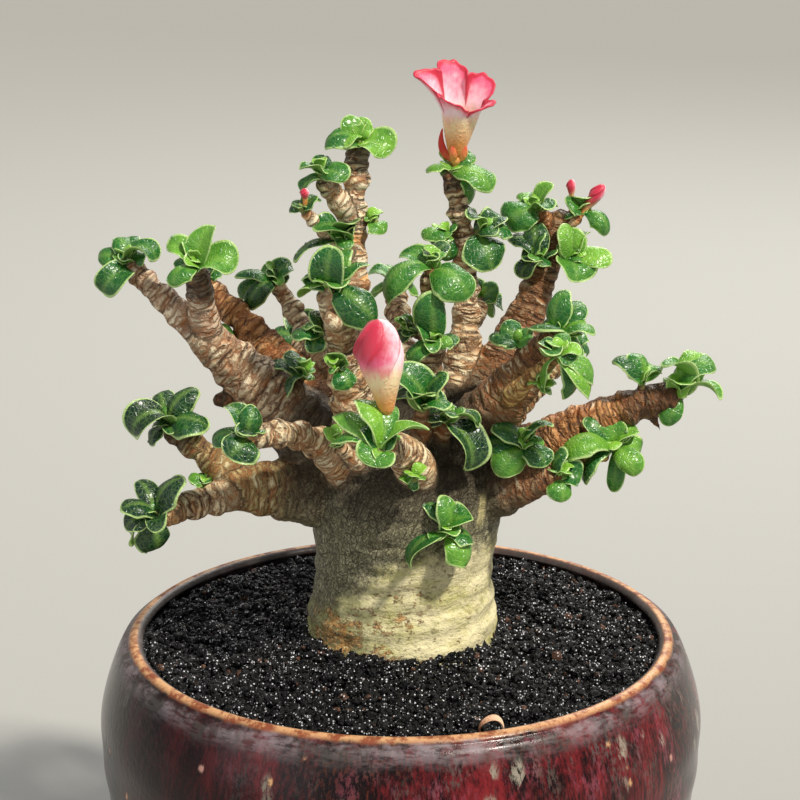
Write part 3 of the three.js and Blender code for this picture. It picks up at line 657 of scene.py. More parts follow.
@dataclass(frozen=True)
class LeafFinish:
    """Glossy blades from blue-green to yellow-green, with pale ribs and margins, and drops."""

    deep: Rgb = tint("082a1c")
    green: Rgb = tint("1d6a24")
    bright: Rgb = tint("86bd3a")
    rib: Rgb = tint("9cc65c")
    margin: Rgb = tint("bcd98a")
    under: Rgb = tint("8cba55")
    stem: Rgb = tint("84904a")
    scar: Rgb = tint("5d4029")
    water: Rgb = tint("b8d6b0")
    vein_spacing: float = 1.5
    pucker: float = 2.2

    def material(self) -> Material:
        """Makes the leaf.

        Returns:
            The material.
        """
        s = Shade("glossy_leaf")
        place = s.place()
        rib, outline, side = s.value("blade").parts()
        tone, along, woody = s.value("kind").parts()
        wet = s.value("wet").parts()[0]
        mottle = s.cloud(place, 5.0, 4.0, 0.6)
        net = s.cells(place, self.vein_spacing, "DISTANCE_TO_EDGE").ease(0.0, 0.16)
        # Green from deep blue-green to bright yellow-green: partly each shoot's own tone, partly
        # painted light and shade by where the shoot stands.
        tone_and_light = tone + mottle * 0.5 - 0.25
        colour = s.mix(tone_and_light.ease(0.05, 0.62), self.deep, self.green)
        colour = s.mix(tone_and_light.ease(0.42, 1.0), colour, self.bright)
        colour = s.mix((1.0 - net) * 0.14, colour, self.rib)
        colour = s.mix(rib * (1.0 - along * 0.7) * 0.5, colour, self.rib)
        underside = side.ease(0.1, -0.3)
        colour = s.mix(underside * 0.6, colour, self.under)
        colour = s.mix((outline + mottle * 0.06).ease(0.88, 0.96) * 0.85, colour, self.margin)
        colour = s.mix(along.ease(0.14, 0.0) * 0.7, colour, self.rib)
        colour = s.mix(woody, colour, s.mix(along.ease(0.3, 0.9), self.scar, self.stem))
        # Painted sheen: the drops' paler tint stands in for light caught in the clear water.
        colour = s.mix(wet * 0.4, colour, self.water)
        height = mottle * 0.5 + s.cloud(place, self.pucker, 3.0) * 0.6 + net * 0.2
        rough = (0.2 + mottle * 0.16 + underside * 0.2 + woody * 0.3) * (1.0 - wet * 0.85)
        return s.finish(Base_Color=colour, Roughness=rough, Normal=s.bump(height, 0.5),
                        Specular_IOR_Level=0.5, Subsurface_Weight=0.15,
                        Subsurface_Radius=(0.5, 1.0, 0.2), Subsurface_Scale=1.5 * MM)


@dataclass(frozen=True)
class PetalFinish:
    """Satin petals: an amber to cream tube with small knots, white-pink lobes and red margins."""

    amber: Rgb = tint("da8a34")
    cream: Rgb = tint("f3dfb0")
    peach: Rgb = tint("eeaf80")
    white: Rgb = tint("fbdfe8")
    pink: Rgb = tint("ee6489")
    red: Rgb = tint("c81d3a")

    def material(self) -> Material:
        """Makes the petal.

        Returns:
            The material.
        """
        s = Shade("satin_petal")
        place = s.place()
        along, rosy, redness = s.value("petal").parts()
        vein = s.cloud(place * (1.0, 1.0, 0.3), 0.9, 4.0, 0.65)
        blush = s.cloud(place, 4.0, 3.0)
        knots = s.cells(place, 1.3).ease(0.5, 0.1) * along.ease(0.5, 0.4) * 0.4
        colour = s.mix((vein * 0.6 + blush * 0.5).ease(0.45, 0.7) * 0.7, self.cream, self.peach)
        colour = s.mix(knots * 0.5, colour, self.cream)
        foot = (along + vein * 0.25 + blush * 0.1).ease(0.58, 0.28)
        colour = s.mix(foot * 0.9, colour, self.amber)
        # On the buds, the rosy share is painted light on their lit flank; on the open flower it
        # grows towards the lobes.
        flush = (blush * 0.8 + vein * 0.3 + rosy * 0.9 - 0.5).ease(0.1, 0.8)
        lobe = s.mix(flush, self.white, self.pink)
        colour = s.mix((along + blush * 0.12).ease(0.44, 0.66), colour, lobe)
        colour = s.mix((redness + vein * 0.35 - 0.16).ease(0.25, 0.8) * 0.9, colour, self.red)
        height = vein * 0.6 + blush * 0.4 + knots
        return s.finish(Base_Color=colour, Roughness=0.4, Normal=s.bump(height, 0.3),
                        Sheen_Weight=0.15,
                        Subsurface_Weight=0.25, Subsurface_Radius=(1.0, 0.5, 0.4),
                        Subsurface_Scale=1.5 * MM)


@dataclass(frozen=True)
class DriedFinish:
    """A thin skin of a plant in one colour that deepens to another along its length."""

    name: str
    foot: Rgb
    tip: Rgb
    rough: float = 0.5

    def material(self) -> Material:
        """Makes the skin.

        Returns:
            The material.
        """
        s = Shade(self.name)
        place = s.place()
        along = s.value("petal").parts()[0]
        streak = s.cloud(place * (1.0, 1.0, 0.3), 0.8, 4.0, 0.65)
        colour = s.mix((along + streak * 0.6 - 0.3).ease(0.1, 0.8), self.foot, self.tip)
        return s.finish(Base_Color=colour, Roughness=self.rough, Normal=s.bump(streak, 0.4))


@dataclass(frozen=True)
class PlainFinish:
    """A plain surface with a fine grain."""

    name: str
    shade: Rgb
    rough: float

    def material(self) -> Material:
        """Makes the surface.

        Returns:
            The material.
        """
        s = Shade(self.name)
        grain = s.cloud(s.place(), 1.5, 2.0)
        colour = s.mix(grain * 0.15, self.shade, tuple(0.8 * value for value in self.shade))
        return s.finish(Base_Color=colour, Roughness=self.rough, Normal=s.bump(grain, 0.05))


# --- Meshes ---


def tube_faces(rings: int, sides: int) -> Faces:
    """Joins a pole, rings of points and a second pole into a closed skin.

    Args:
        rings: How many rings lie between the poles.
        sides: How many points a ring has.

    Returns:
        The faces. The first pole is point 0 and the second one is the last point.
    """
    last = 1 + rings * sides
    faces: Faces = []
    for j in range(sides):
        after = (j + 1) % sides
        faces.append((0, 1 + after, 1 + j))
        for i in range(rings - 1):
            low, high = 1 + i * sides, 1 + (i + 1) * sides
            faces.append((low + j, low + after, high + after, high + j))
        faces.append((last - sides + j, last - sides + after, last))
    return faces


def loop_faces(rows: int, sides: int) -> Faces:
    """Joins rings of points into a skin that closes on itself both ways, such as a ring.

    Args:
        rows: How many rings.
        sides: How many points a ring has.

    Returns:
        The faces.
    """
    faces: Faces = []
    for i in range(rows):
        low, high = i * sides, ((i + 1) % rows) * sides
        for j in range(sides):
            after = (j + 1) % sides
            faces.append((low + j, low + after, high + after, high + j))
    return faces


def turned_outward(points: Array, faces: Faces) -> Faces:
    """Reverses the faces of a closed skin if they look inward.

    Args:
        points: The skin's points.
        faces: Its faces, by point number.

    Returns:
        The faces, looking outward.
    """
    volume = 0.0
    for face in faces:
        a = points[face[0]]
        for k in range(1, len(face) - 1):
            volume += float(np.dot(a, np.cross(points[face[k]], points[face[k + 1]])))
    return faces if volume > 0 else [face[::-1] for face in faces]


class Form:
    """Gathers one piece's closed skins, in millimetres, with the values stored at their points."""

    def __init__(self) -> None:
        """Starts an empty form."""
        self.points: list[Array] = []
        self.faces: Faces = []
        self.values: dict[str, list[Array]] = {}
        self.count = 0

    def add(self, points: Array, faces: Faces, **values: Array) -> None:
        """Adds a closed skin and turns its faces outward.

        Args:
            points: Its points.
            faces: Its faces, by point number.
            **values: Three numbers for each point, or one row for all of them.
        """
        outward = turned_outward(points, faces)
        self.faces += [tuple(self.count + i for i in face) for face in outward]
        self.points.append(points)
        self.count += len(points)
        for key, rows in values.items():
            self.values.setdefault(key, []).append(np.broadcast_to(rows, (len(points), 3)))

    def piece(self, name: str, material: Material, slot: str, nodes: Iterable[str] = (),
              smooth: bool = True) -> Piece:
        """Makes the piece and fastens it to the frame.

        Args:
            name: The piece's name.
            material: Its finish.
            slot: The record's material slot that it belongs to; not used.
            nodes: The frame's nodes that it stands for.
            smooth: Whether its faces are shaded smoothly.

        Returns:
            The piece.
        """
        mesh = bpy.data.meshes.new(name)
        mesh.from_pydata(np.concatenate(self.points) * MM, [], self.faces)
        mesh.polygons.foreach_set("use_smooth", [smooth] * len(mesh.polygons))
        for key, rows in self.values.items():
            store_values(mesh, key, np.concatenate(rows))
        return fasten(name, mesh, material, nodes)


def placed(name: str, data: bpy.types.ID) -> Piece:
    """Puts an object with this data in the scene.

    Args:
        name: The object's name.
        data: Its mesh, light or camera.

    Returns:
        The object.
    """
    made = bpy.data.objects.new(name, data)
    bpy.context.scene.collection.objects.link(made)
    return made


def dress(node: str, material: Material) -> None:
    """Gives one of the frame's own nodes a better material.

    Args:
        node: The node's name.
        material: Its new finish.
    """
    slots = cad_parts[node].data.materials
    slots.clear()
    slots.append(material)


def store_values(mesh: Mesh, name: str, rows: Array) -> None:
    """Stores three numbers at each point of a mesh."""
    attribute = mesh.attributes.new(name, "FLOAT_VECTOR", "POINT")
    attribute.data.foreach_set("vector", rows.astype(np.float32).ravel())


def fasten(name: str, mesh: Mesh, material: Material,
           nodes: Iterable[str]) -> Piece:
    """Puts a mesh in the scene as a piece that rides on the plant's one body.

    Args:
        name: The piece's name.
        mesh: Its mesh, in metres.
        material: Its finish.
        nodes: The frame's nodes that it stands for.

    Returns:
        The piece.
    """
    mesh.materials.append(material)
    mesh.update()
    piece = placed(name, mesh)
    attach(piece, "root")
    if nodes:
        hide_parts(*nodes)
    log.info("%s: %d faces", name, len(mesh.polygons))
    return piece


def lathe(profile: Array, sides: int) -> Array:
    """Turns [radius, height] points about +Z.

    Args:
        profile: The points.
        sides: How many copies go round.

    Returns:
        One ring of points for each profile point.
    """
    turn = circle(sides)
    return np.concatenate([np.stack([r * np.cos(turn), r * np.sin(turn), np.full(sides, z)], 1)
                           for r, z in profile])


@dataclass(frozen=True)
class Spine:
    """A curved centre line with a radius: three control points of a quadratic curve."""

    control: Array
    radius: Callable[[Array], Array]

    def at(self, t: Array) -> Array:
        """Gives the points at shares of the way along.

        Args:
            t: The shares, from 0 to 1.

        Returns:
            The points.
        """
        t = np.asarray(t, float)[..., None]
        a, b, c = self.control
        return (1 - t) ** 2 * a + 2 * t * (1 - t) * b + t ** 2 * c

    def ahead(self, t: Array) -> Array:
        """Gives the unit directions at shares of the way along.

        Args:
            t: The shares, from 0 to 1.

        Returns:
            The directions.
        """
        t = np.asarray(t, float)[..., None]
        a, b, c = self.control
        return unit((1 - t) * (b - a) + t * (c - b))

    def sides(self, t: Array) -> tuple[Array, Array]:
        """Gives two unit directions across the line at shares of the way along.

        Args:
            t: The shares, from 0 to 1.

        Returns:
            The level direction and the one across both it and the line.
        """
        side = sideways_from(unit(self.control[2] - self.control[0]))
        ahead = self.ahead(t)
        across = unit(np.cross(side, ahead))
        return across, np.cross(ahead, across)

    def length(self) -> float:
        """Measures the line."""
        return float(np.linalg.norm(np.diff(self.at(np.linspace(0, 1, 40)), axis=0), axis=1).sum())

    def skin(self, step: float, sides: int, flat: float = 1.0) -> tuple[Array, Faces, Array]:
        """Makes a closed tube round the line, with a rounded far end.

        Args:
            step: The millimetres between rings.
            sides: How many points a ring has.
            flat: How thick the tube is, as a share of its width.

        Returns:
            The points, the faces, and each point's share of the way along.
        """
        rings = max(3, round(self.length() / step))
        t = np.linspace(0, 1, rings)
        across, lift = self.sides(t)
        radius = np.asarray(self.radius(t), float)
        centres = self.at(t)
        caps = np.radians(CAP_ANGLES)
        domed = centres[-1] + np.outer(radius[-1] * np.sin(caps), self.ahead(1.0))
        centres = np.concatenate([centres, domed])
        radius = np.concatenate([radius, radius[-1] * np.cos(caps)])
        across, lift = (np.concatenate([rows, np.repeat(rows[-1:], len(caps), 0)])
                        for rows in (across, lift))
        turn = circle(sides)
        cos, sin = np.cos(turn)[:, None], np.sin(turn)[:, None]
        spread = across[:, None] * cos + flat * lift[:, None] * sin
        rows = (centres[:, None] + radius[:, None, None] * spread).reshape(-1, 3)
        end = centres[-1] + self.ahead(1.0) * radius[-1] * 0.2
        points = np.concatenate([centres[:1], rows, end[None]])
        share = np.concatenate([[0.0], np.repeat(np.append(t, np.ones(len(caps))), sides), [1.0]])
        return points, tube_faces(rings + len(caps), sides), share


# --- The growth plan ---


class Bark(Enum):
    """A limb's skin: its pale and deep colours, and how many millimetres its knots stand out."""

    ASH = (tint("dcc6a2"), tint("826444"), 0.35)
    PLATE = (tint("ead2b4"), tint("96683f"), 0.4)
    CREAM = (tint("f9e6bc"), tint("cc975a"), 0.65)
    NODE = (tint("fff0cc"), tint("e8ac68"), 0.9)
    RUST = (tint("d89e64"), tint("84492a"), 0.45)
    OLIVE = (tint("c6b078"), tint("5c482a"), 0.35)
    UMBER = (tint("a68660"), tint("4c3624"), 0.35)
    STRAW = (tint("f0cc84"), tint("b07830"), 0.5)


@dataclass(frozen=True)
class Limb:
    """A limb, which grows from a seat in the trunk, or a share of the way along another limb."""

    heading: float
    climb: float
    length: float
    thick: float
    thin: float
    bark: Bark
    seat: tuple[float, float, float] = (0.0, 0.0, 0.0)
    source: str = ""
    at: float = 0.0
    bow: float = 0.0
    sway: float = 0.0
    taper: float = 2.0
    collar: float = 0.0

    def spine(self, grown: dict[str, Spine]) -> Spine:
        """Lays the limb's centre line.

        Args:
            grown: The centre lines that already exist, by limb.

        Returns:
            The centre line.
        """
        start = grown[self.source].at(self.at) if self.source else np.array(self.seat, float)
        end = start + self.length * direction(self.heading, self.climb)
        middle = (start + end) / 2 + 2 * self.bow * direction(self.heading, self.climb + 90)
        middle = middle + 2 * self.sway * direction(self.heading + 90, 0)
        spread = self.thick - self.thin
        return Spine(np.array([start, middle, end]),
                     lambda t: self.thin + spread * (1 - t) ** self.taper)


LIMBS: dict[str, Limb] = {
    "left_main": Limb(180, 44, 62, 15, 6, Bark.ASH, (-20, 0, 180), taper=1),
    "left_outer": Limb(168, 42, 32, 6, 4, Bark.PLATE, source="left_main", at=0.97),
    "left_upright": Limb(257, 69, 25, 5.6, 4.2, Bark.PLATE, source="left_main", at=0.97, collar=7),
    "left_middle": Limb(150, 38, 68, 9, 3.6, Bark.RUST, (-18, 8, 188), taper=1),
    "left_back": Limb(136, 46, 54, 9, 2.8, Bark.CREAM, (-14, 12, 190), taper=1.5),
    "left_low": Limb(196, 7, 41, 15, 7.5, Bark.OLIVE, (-14, -3, 170), taper=1),
    "left_low_upper": Limb(165, 36, 30, 6.5, 4, Bark.OLIVE, source="left_low", at=0.93, collar=6),
    "left_low_lower": Limb(214, -5, 31, 7, 4.2, Bark.CREAM, source="left_low", at=0.93),
    "left_front": Limb(221, 27, 43, 8, 3.9, Bark.CREAM, (-17, -16, 182), bow=5),
    "front_tall": Limb(222, 78, 60, 10, 5.2, Bark.CREAM, (-12, -12, 182)),
    "tall_left": Limb(104, 80, 97, 11, 3.8, Bark.NODE, (-10, 2, 184), sway=3, taper=3, collar=4),
    "tall_left_side": Limb(204, 57, 18, 4, 3.5, Bark.NODE, source="tall_left", at=0.76),
    "tall_left_twig": Limb(211, 44, 24, 3.6, 2.2, Bark.NODE, source="tall_left", at=0.65),
    "tall_right": Limb(79, 76, 90, 11, 3.6, Bark.CREAM, (13, 6, 182), bow=-5, sway=-6, taper=3,
                       collar=4),
    "centre_tall": Limb(288, 84, 62, 9, 3.6, Bark.CREAM, (8, -4, 184)),
    "centre_spur": Limb(280, 61, 23, 6, 2.8, Bark.UMBER, (5, -16, 184)),
    "bud_limb": Limb(250, 33, 42, 9, 4.8, Bark.CREAM, (7, -20, 178), bow=4),
    "front_twig": Limb(228, 42, 18, 5, 2, Bark.CREAM, (-10, -20, 182)),
    "front_right_spur": Limb(294, 60, 20, 6, 2.6, Bark.UMBER, (10, -14, 182)),
    "right_upper": Limb(37, 56, 89, 14, 4, Bark.UMBER, (14, 3, 180), bow=-5, taper=1.5),
    "right_upper_left": Limb(180, 42, 7, 3.4, 2.8, Bark.RUST, source="right_upper", at=0.96),
    "right_upper_right": Limb(0, 38, 7, 3.4, 2.8, Bark.RUST, source="right_upper", at=0.96),
    "right_fan": Limb(338, 51, 59, 13, 5, Bark.UMBER, (14, -4, 180), taper=1),
    "right_fan_lower": Limb(311, 40, 40, 6, 2.2, Bark.STRAW, source="right_fan", at=0.4),
    "right_long": Limb(355, 28, 72, 13, 5.2, Bark.RUST, (24, 0, 170), bow=4, collar=15),
    "right_low": Limb(335, 18, 40, 15, 4.4, Bark.UMBER, (14, -4, 168), taper=1),
    "right_low_spur": Limb(323, 67, 13, 5, 3, Bark.CREAM, source="right_low", at=0.6),
    "right_low_twig": Limb(15, 17, 28, 5, 3, Bark.STRAW, source="right_low", at=0.75),
    "back_left": Limb(120, 22, 57, 10, 4.2, Bark.ASH, (-8, 12, 182)),
    "back_outer_left": Limb(122, 20, 53, 11, 3.8, Bark.RUST, (-18, 8, 174), bow=-3),
    "back_middle": Limb(96, 39, 61, 9, 3.8, Bark.CREAM, (3, 12, 184), bow=3),
    "back_low": Limb(102, 18, 60, 14, 4, Bark.UMBER, (0, 14, 172)),
    "back_right": Limb(47, 24, 63, 12, 3.8, Bark.OLIVE, (18, 10, 176)),
    "back_twig": Limb(70, 38, 49, 8, 2.6, Bark.CREAM, (14, 12, 190)),
    "cut_stub": Limb(185, 0, 17, 5, 2.6, Bark.UMBER, source="left_main", at=0.5, taper=1,
                     collar=17),
    "round_scar": Limb(262, 10, 6.6, 4.2, 3.4, Bark.CREAM, source="front_tall", at=0.88),
    "spur_right": Limb(355, -55, 12, 2.2, 0.5, Bark.UMBER, source="right_long", at=0.88, taper=1,
                       collar=12),
}


@dataclass(frozen=True)
class Whorl:
    """Leaves of one length, which point to hours of a clock face seen from the front."""

    hours: tuple[float, ...]
    reach: float
    width: float
    curl: float
    depth: float
    stagger: float = 1.5
    shorter: float = 0.1

    def tips(self) -> list[Array]:
        """Places the leaves' tips. Every second leaf is shorter and further back.

        Returns:
            The tips, from the shoot's seat.
        """
        tips = []
        for i, hour in enumerate(self.hours):
            turn, second = math.radians(30 * hour), i % 2
            length = self.reach * (1 - self.shorter * second)
            tips.append(np.array([length * math.sin(turn), self.depth + self.stagger * second,
                                  length * math.cos(turn)]))
        return tips


@dataclass(frozen=True)
class Shoot:
    """A leafy shoot. It ends its limb, or stands on its side, a share of the way along.

    The limb has the shoot's own name where no other is given. The number after its name sets how
    yellow and bright its green is: partly its own tone, partly painted light and shade.
    """

    name: str
    tone_and_light: float
    whorls: tuple[Whorl, ...]
    at: float = 1.0
    side: tuple[float, float] | None = None
    limb: str = ""
    sunk: float = 0.9

    def frame(self, grown: dict[str, Spine]) -> tuple[Array, Array]:
        """Finds where the shoot stands on the wood.

        Args:
            grown: The centre lines, by limb.

        Returns:
            The seat and the unit direction.
        """
        spine = grown[self.limb or self.name]
        if self.side is None:
            return spine.at(1.0), spine.ahead(1.0)
        axis = direction(*self.side)
        return spine.at(self.at) + self.sunk * float(spine.radius(self.at)) * axis, axis


def rosette(turn: float) -> tuple[Whorl, ...]:
    """Gives the whorls of a plain full rosette that opens to the back, turned by some hours."""
    return (Whorl((10 + turn, 2 + turn), 11, 10, 4, 4), Whorl((12 + turn,), 5, 11, 5, 12),
            Whorl((8 + turn, 4 + turn), 9, 9, 4, 7))


SHOOTS: tuple[Shoot, ...] = (
    Shoot("left_outer", 0.45, (
        Whorl((8, 8.5), 12, 10, 5, -5), Whorl((9.5, 11), 13, 8, 4, 4), Whorl((2,), 8, 10, 8, -2),
        Whorl((11.5,), 9, 9, 4, 10))),
    Shoot("left_upright", 0.6, (
        Whorl((2.5,), 13, 13, 5, -4), Whorl((0.5,), 17, 10, 3, 2), Whorl((8.5,), 7, 9, 5, -8),
        Whorl((10.5, 11.5), 14, 8, 3, 1), Whorl((1,), 8, 9, 4, 10))),
    Shoot("left_middle", 0.35, (Whorl((1, 10), 7, 8, 3, 3), Whorl((12,), 6, 9, 5, 9))),
    Shoot("left_middle_low", 0.5, (
        Whorl((10, 7.5), 6, 7, 4, -5),), 0.75, (200, -50), limb="left_middle"),
    Shoot("left_back", 0.35, (
        Whorl((9.5, 8.5), 16, 8, 3, 0), Whorl((8,), 12, 8, 5, -5), Whorl((10.5, 1), 9, 8, 5, 2),
        Whorl((12,), 4, 9, 4, 11))),
    Shoot("crown_left", 0.4, (
        Whorl((10, 11), 11, 8, 4, 0), Whorl((7.5,), 6, 8, 5, -7)), 0.45, (0, 50), limb="left_main"),
    Shoot("left_front", 0.3, (
        Whorl((8,), 9, 13, 4, -9), Whorl((8.5, 10.5), 14, 8, 4, 2), Whorl((12,), 10, 8, 4, 0))),
    Shoot("left_low_upper", 0.15, (
        Whorl((9,), 13, 12, 9, -6), Whorl((2.5,), 12, 12, 4, -6), Whorl((1,), 15, 9, 4, 5),
        Whorl((8,), 9, 8, 3, -2), Whorl((11,), 12, 9, 4, 9))),
    Shoot("left_low_lower", 0.15, (
        Whorl((1,), 14, 14, 4, 0), Whorl((9.5, 8.5), 14, 9, 4, -7), Whorl((10.5,), 13, 8, 3, 6),
        Whorl((7.5, 6.5), 14, 12, 4, -1))),
    Shoot("left_fork", 0.5, (Whorl((9,), 7, 7, 3, -3),), 0.4, (215, -45), limb="left_low_upper"),
    Shoot("front_tall", 0.55, (
        Whorl((12, 1.5), 18, 12, 3, -3), Whorl((10, 9), 12, 9, 4, 0), Whorl((4,), 15, 13, 4, -5),
        Whorl((0.5,), 14, 11, 4, 8))),
    Shoot("front_tall_side", 0.35, (
        Whorl((9, 11), 11, 8, 4, -1),
        Whorl((7.5,), 6, 7, 3, -4)), 0.76, (180, 10), limb="front_tall"),
    Shoot("front_tall_face", 0.45, (
        Whorl((11.5, 5), 7, 9, 4, -6),), 0.6, (250, 10), limb="front_tall"),
    Shoot("tall_left", 0.68, (
        Whorl((9.5,), 11, 9, 7, -2), Whorl((3,), 10, 12, 5, -4), Whorl((11.5, 0.5), 13, 8, 3, 1),
        Whorl((10.5,), 5, 8, 4, -8), Whorl((1, 10), 7, 9, 4, 9))),
    Shoot("tall_left_side", 0.52, (
        Whorl((10, 8), 10, 9, 4, -3), Whorl((2.5,), 7, 9, 5, -5), Whorl((12,), 8, 8, 3, 4))),
    Shoot("tall_left_twig", 0.4, (Whorl((1,), 7, 7, 2, -3), Whorl((9.5, 1.5), 6, 6, 3, 3))),
    Shoot("tall_left_front", 0.3, (
        Whorl((10,), 13, 11, 4, -9), Whorl((0.5,), 9, 11, 3, -9),
        Whorl((8.5,), 18, 8, 3, -8)), 0.7, (235, 10), limb="tall_left"),
    Shoot("tall_left_right", 0.7, (Whorl((4,), 7, 9, 5, -3),), 0.77, (350, 5), limb="tall_left"),
    Shoot("tall_right", 0.6, (
        Whorl((9.5,), 9, 9, 5, -3), Whorl((3.5,), 13, 14, 4, -6), Whorl((5, 1.5), 11, 9, 4, 3),
        Whorl((11,), 5, 9, 4, 9))),
    Shoot("tall_right_left", 0.5, (
        Whorl((9,), 10, 9, 5, -5),
        Whorl((6.5, 7.5), 8, 8, 4, -2)), 0.78, (195, 15), limb="tall_right"),
    Shoot("tall_right_right", 0.4, (
        Whorl((5,), 12, 16, 4, -7),
        Whorl((3, 2), 13, 9, 4, 1)), 0.78, (340, 25), limb="tall_right"),
    Shoot("centre_tall", 0.4, (
        Whorl((4,), 13, 15, 5, -6), Whorl((8,), 16, 12, 7, -5), Whorl((10, 1), 12, 8, 2, 4),
        Whorl((11,), 6, 9, 4, 11))),
    Shoot("centre_upper", 0.45, (
        Whorl((12,), 20, 11, 2, -6), Whorl((11, 2.5), 10, 9, 3, -4),
        Whorl((8,), 9, 8, 4, -5)), 0.6, (285, 25), limb="centre_tall"),
    Shoot("centre_left", 0.35, (
        Whorl((10.5, 8), 9, 8, 4, -1),), 0.65, (185, 20), limb="centre_tall"),
    Shoot("centre_front", 0.35, (
        Whorl((11, 1), 18, 13, 3, -2), Whorl((2,), 9, 10, 4, -9)), limb="centre_spur"),
    Shoot("bud_limb", 0.6, (
        Whorl((8,), 5, 13, 6, -9), Whorl((11, 9), 18, 10, 4, 2), Whorl((10,), 18, 8, 3, 7),
        Whorl((2,), 16, 8, 3, -5), Whorl((12,), 13, 9, 4, 9))),
    Shoot("front_twig", 0.45, (Whorl((10.5, 1), 6, 7, 3, -3),)),
    Shoot("bud_limb_under", 0.6, (
        Whorl((4, 8), 5, 7, 3, -4), Whorl((6,), 6, 6, 3, -2)), 0.5, (290, -35), limb="bud_limb"),
    Shoot("front_right", 0.3, (
        Whorl((5,), 15, 13, 4, -7), Whorl((3,), 11, 9, 4, -2)), limb="front_right_spur"),
    Shoot("right_low_spur", 0.5, (
        Whorl((10.5, 9.5), 14, 10, 4, -4), Whorl((8, 3.5), 9, 11, 4, -8),
        Whorl((1.5,), 15, 9, 5, -3), Whorl((12,), 8, 8, 3, 4))),
    Shoot("right_low", 0.55, (Whorl((1, 3), 11, 9, 4, -2), Whorl((5,), 7, 9, 4, -6))),
    Shoot("right_low_twig", 0.6, (
        Whorl((9,), 13, 11, 6, -8), Whorl((11, 0.5), 13, 10, 3, 0), Whorl((2, 3.5), 14, 8, 5, 2),
        Whorl((4, 7), 12, 9, 5, -6), Whorl((5.5,), 13, 6, 3, -2))),
    Shoot("right_long_top", 0.5, (
        Whorl((10.5, 11.5), 14, 10, 6, 0),
        Whorl((1,), 8, 8, 4, 5)), 0.88, (250, 80), limb="right_long"),
    Shoot("right_long", 0.7, (
        Whorl((11.5,), 12, 11, 6, -5), Whorl((2,), 18, 12, 6, 1), Whorl((3,), 17, 10, 4, -4),
        Whorl((6,), 9, 8, 3, -4), Whorl((1,), 16, 10, 5, 6))),
    Shoot("right_fan", 0.5, (
        Whorl((10.5,), 9, 15, 4, -10), Whorl((0.5, 1.5), 17, 10, 4, 3),
        Whorl((2.5, 2), 14, 9, 4, -4), Whorl((4.5,), 9, 9, 3, -7))),
    Shoot("right_fan_lower", 0.6, (
        Whorl((4.5, 4), 16, 8, 4, -2), Whorl((5.5, 6), 14, 9, 4, 2), Whorl((3,), 5, 7, 3, -6))),
    Shoot("right_fan_nub", 0.65, (
        Whorl((1.5,), 6, 6, 6, -4),), 0.7, (320, -35), limb="right_fan_lower"),
    Shoot("right_inner", 0.35, (
        Whorl((8, 9.5), 9, 9, 4, -6), Whorl((10, 11.5), 14, 9, 4, 2),
        Whorl((12,), 10, 8, 4, -7)), 0.84, (250, 15), limb="right_upper"),
    Shoot("right_middle", 0.65, (
        Whorl((3,), 17, 9, 2, -4), Whorl((4.5,), 7, 15, 5, -10), Whorl((12, 0.5), 13, 9, 3, -2),
        Whorl((1.5,), 13, 10, 4, 3)), 0.84, (350, 5), limb="right_upper"),
    Shoot("right_upper_left", 0.55, (
        Whorl((8.5,), 12, 14, 9, -4), Whorl((0.5,), 12, 7, 2, 0), Whorl((1,), 5, 8, 3, -8),
        Whorl((10.5,), 9, 8, 4, 7))),
    Shoot("right_upper_right", 0.45, (Whorl((0.5, 11), 8, 8, 4, -4), Whorl((4,), 11, 7, 6, -3))),
    Shoot("right_crotch", 0.35, (
        Whorl((9.5, 10.5), 11, 9, 4, 2),), 0.8, (130, 50), limb="right_fan"),
    Shoot("trunk_front", 0.5, (
        Whorl((12, 11), 14, 8, 4, -5), Whorl((2, 3.5), 12, 10, 4, -5),
        Whorl((7.5, 4.5), 14, 12, 4, -7)), 0.74, (293, 5), limb="trunk"),
    Shoot("back_twig", 0.4, (Whorl((1.5, 3.5), 9, 9, 3, 0), Whorl((11, 5), 7, 8, 4, 5))),
    Shoot("back_left", 0.4, rosette(-0.5)),
    Shoot("back_outer_left", 0.3, rosette(0.5)),
    Shoot("back_middle", 0.45, rosette(0)),
    Shoot("back_low", 0.35, rosette(1)),
    Shoot("back_right", 0.4, rosette(-1)),
)


# --- The bowl and the soil ---


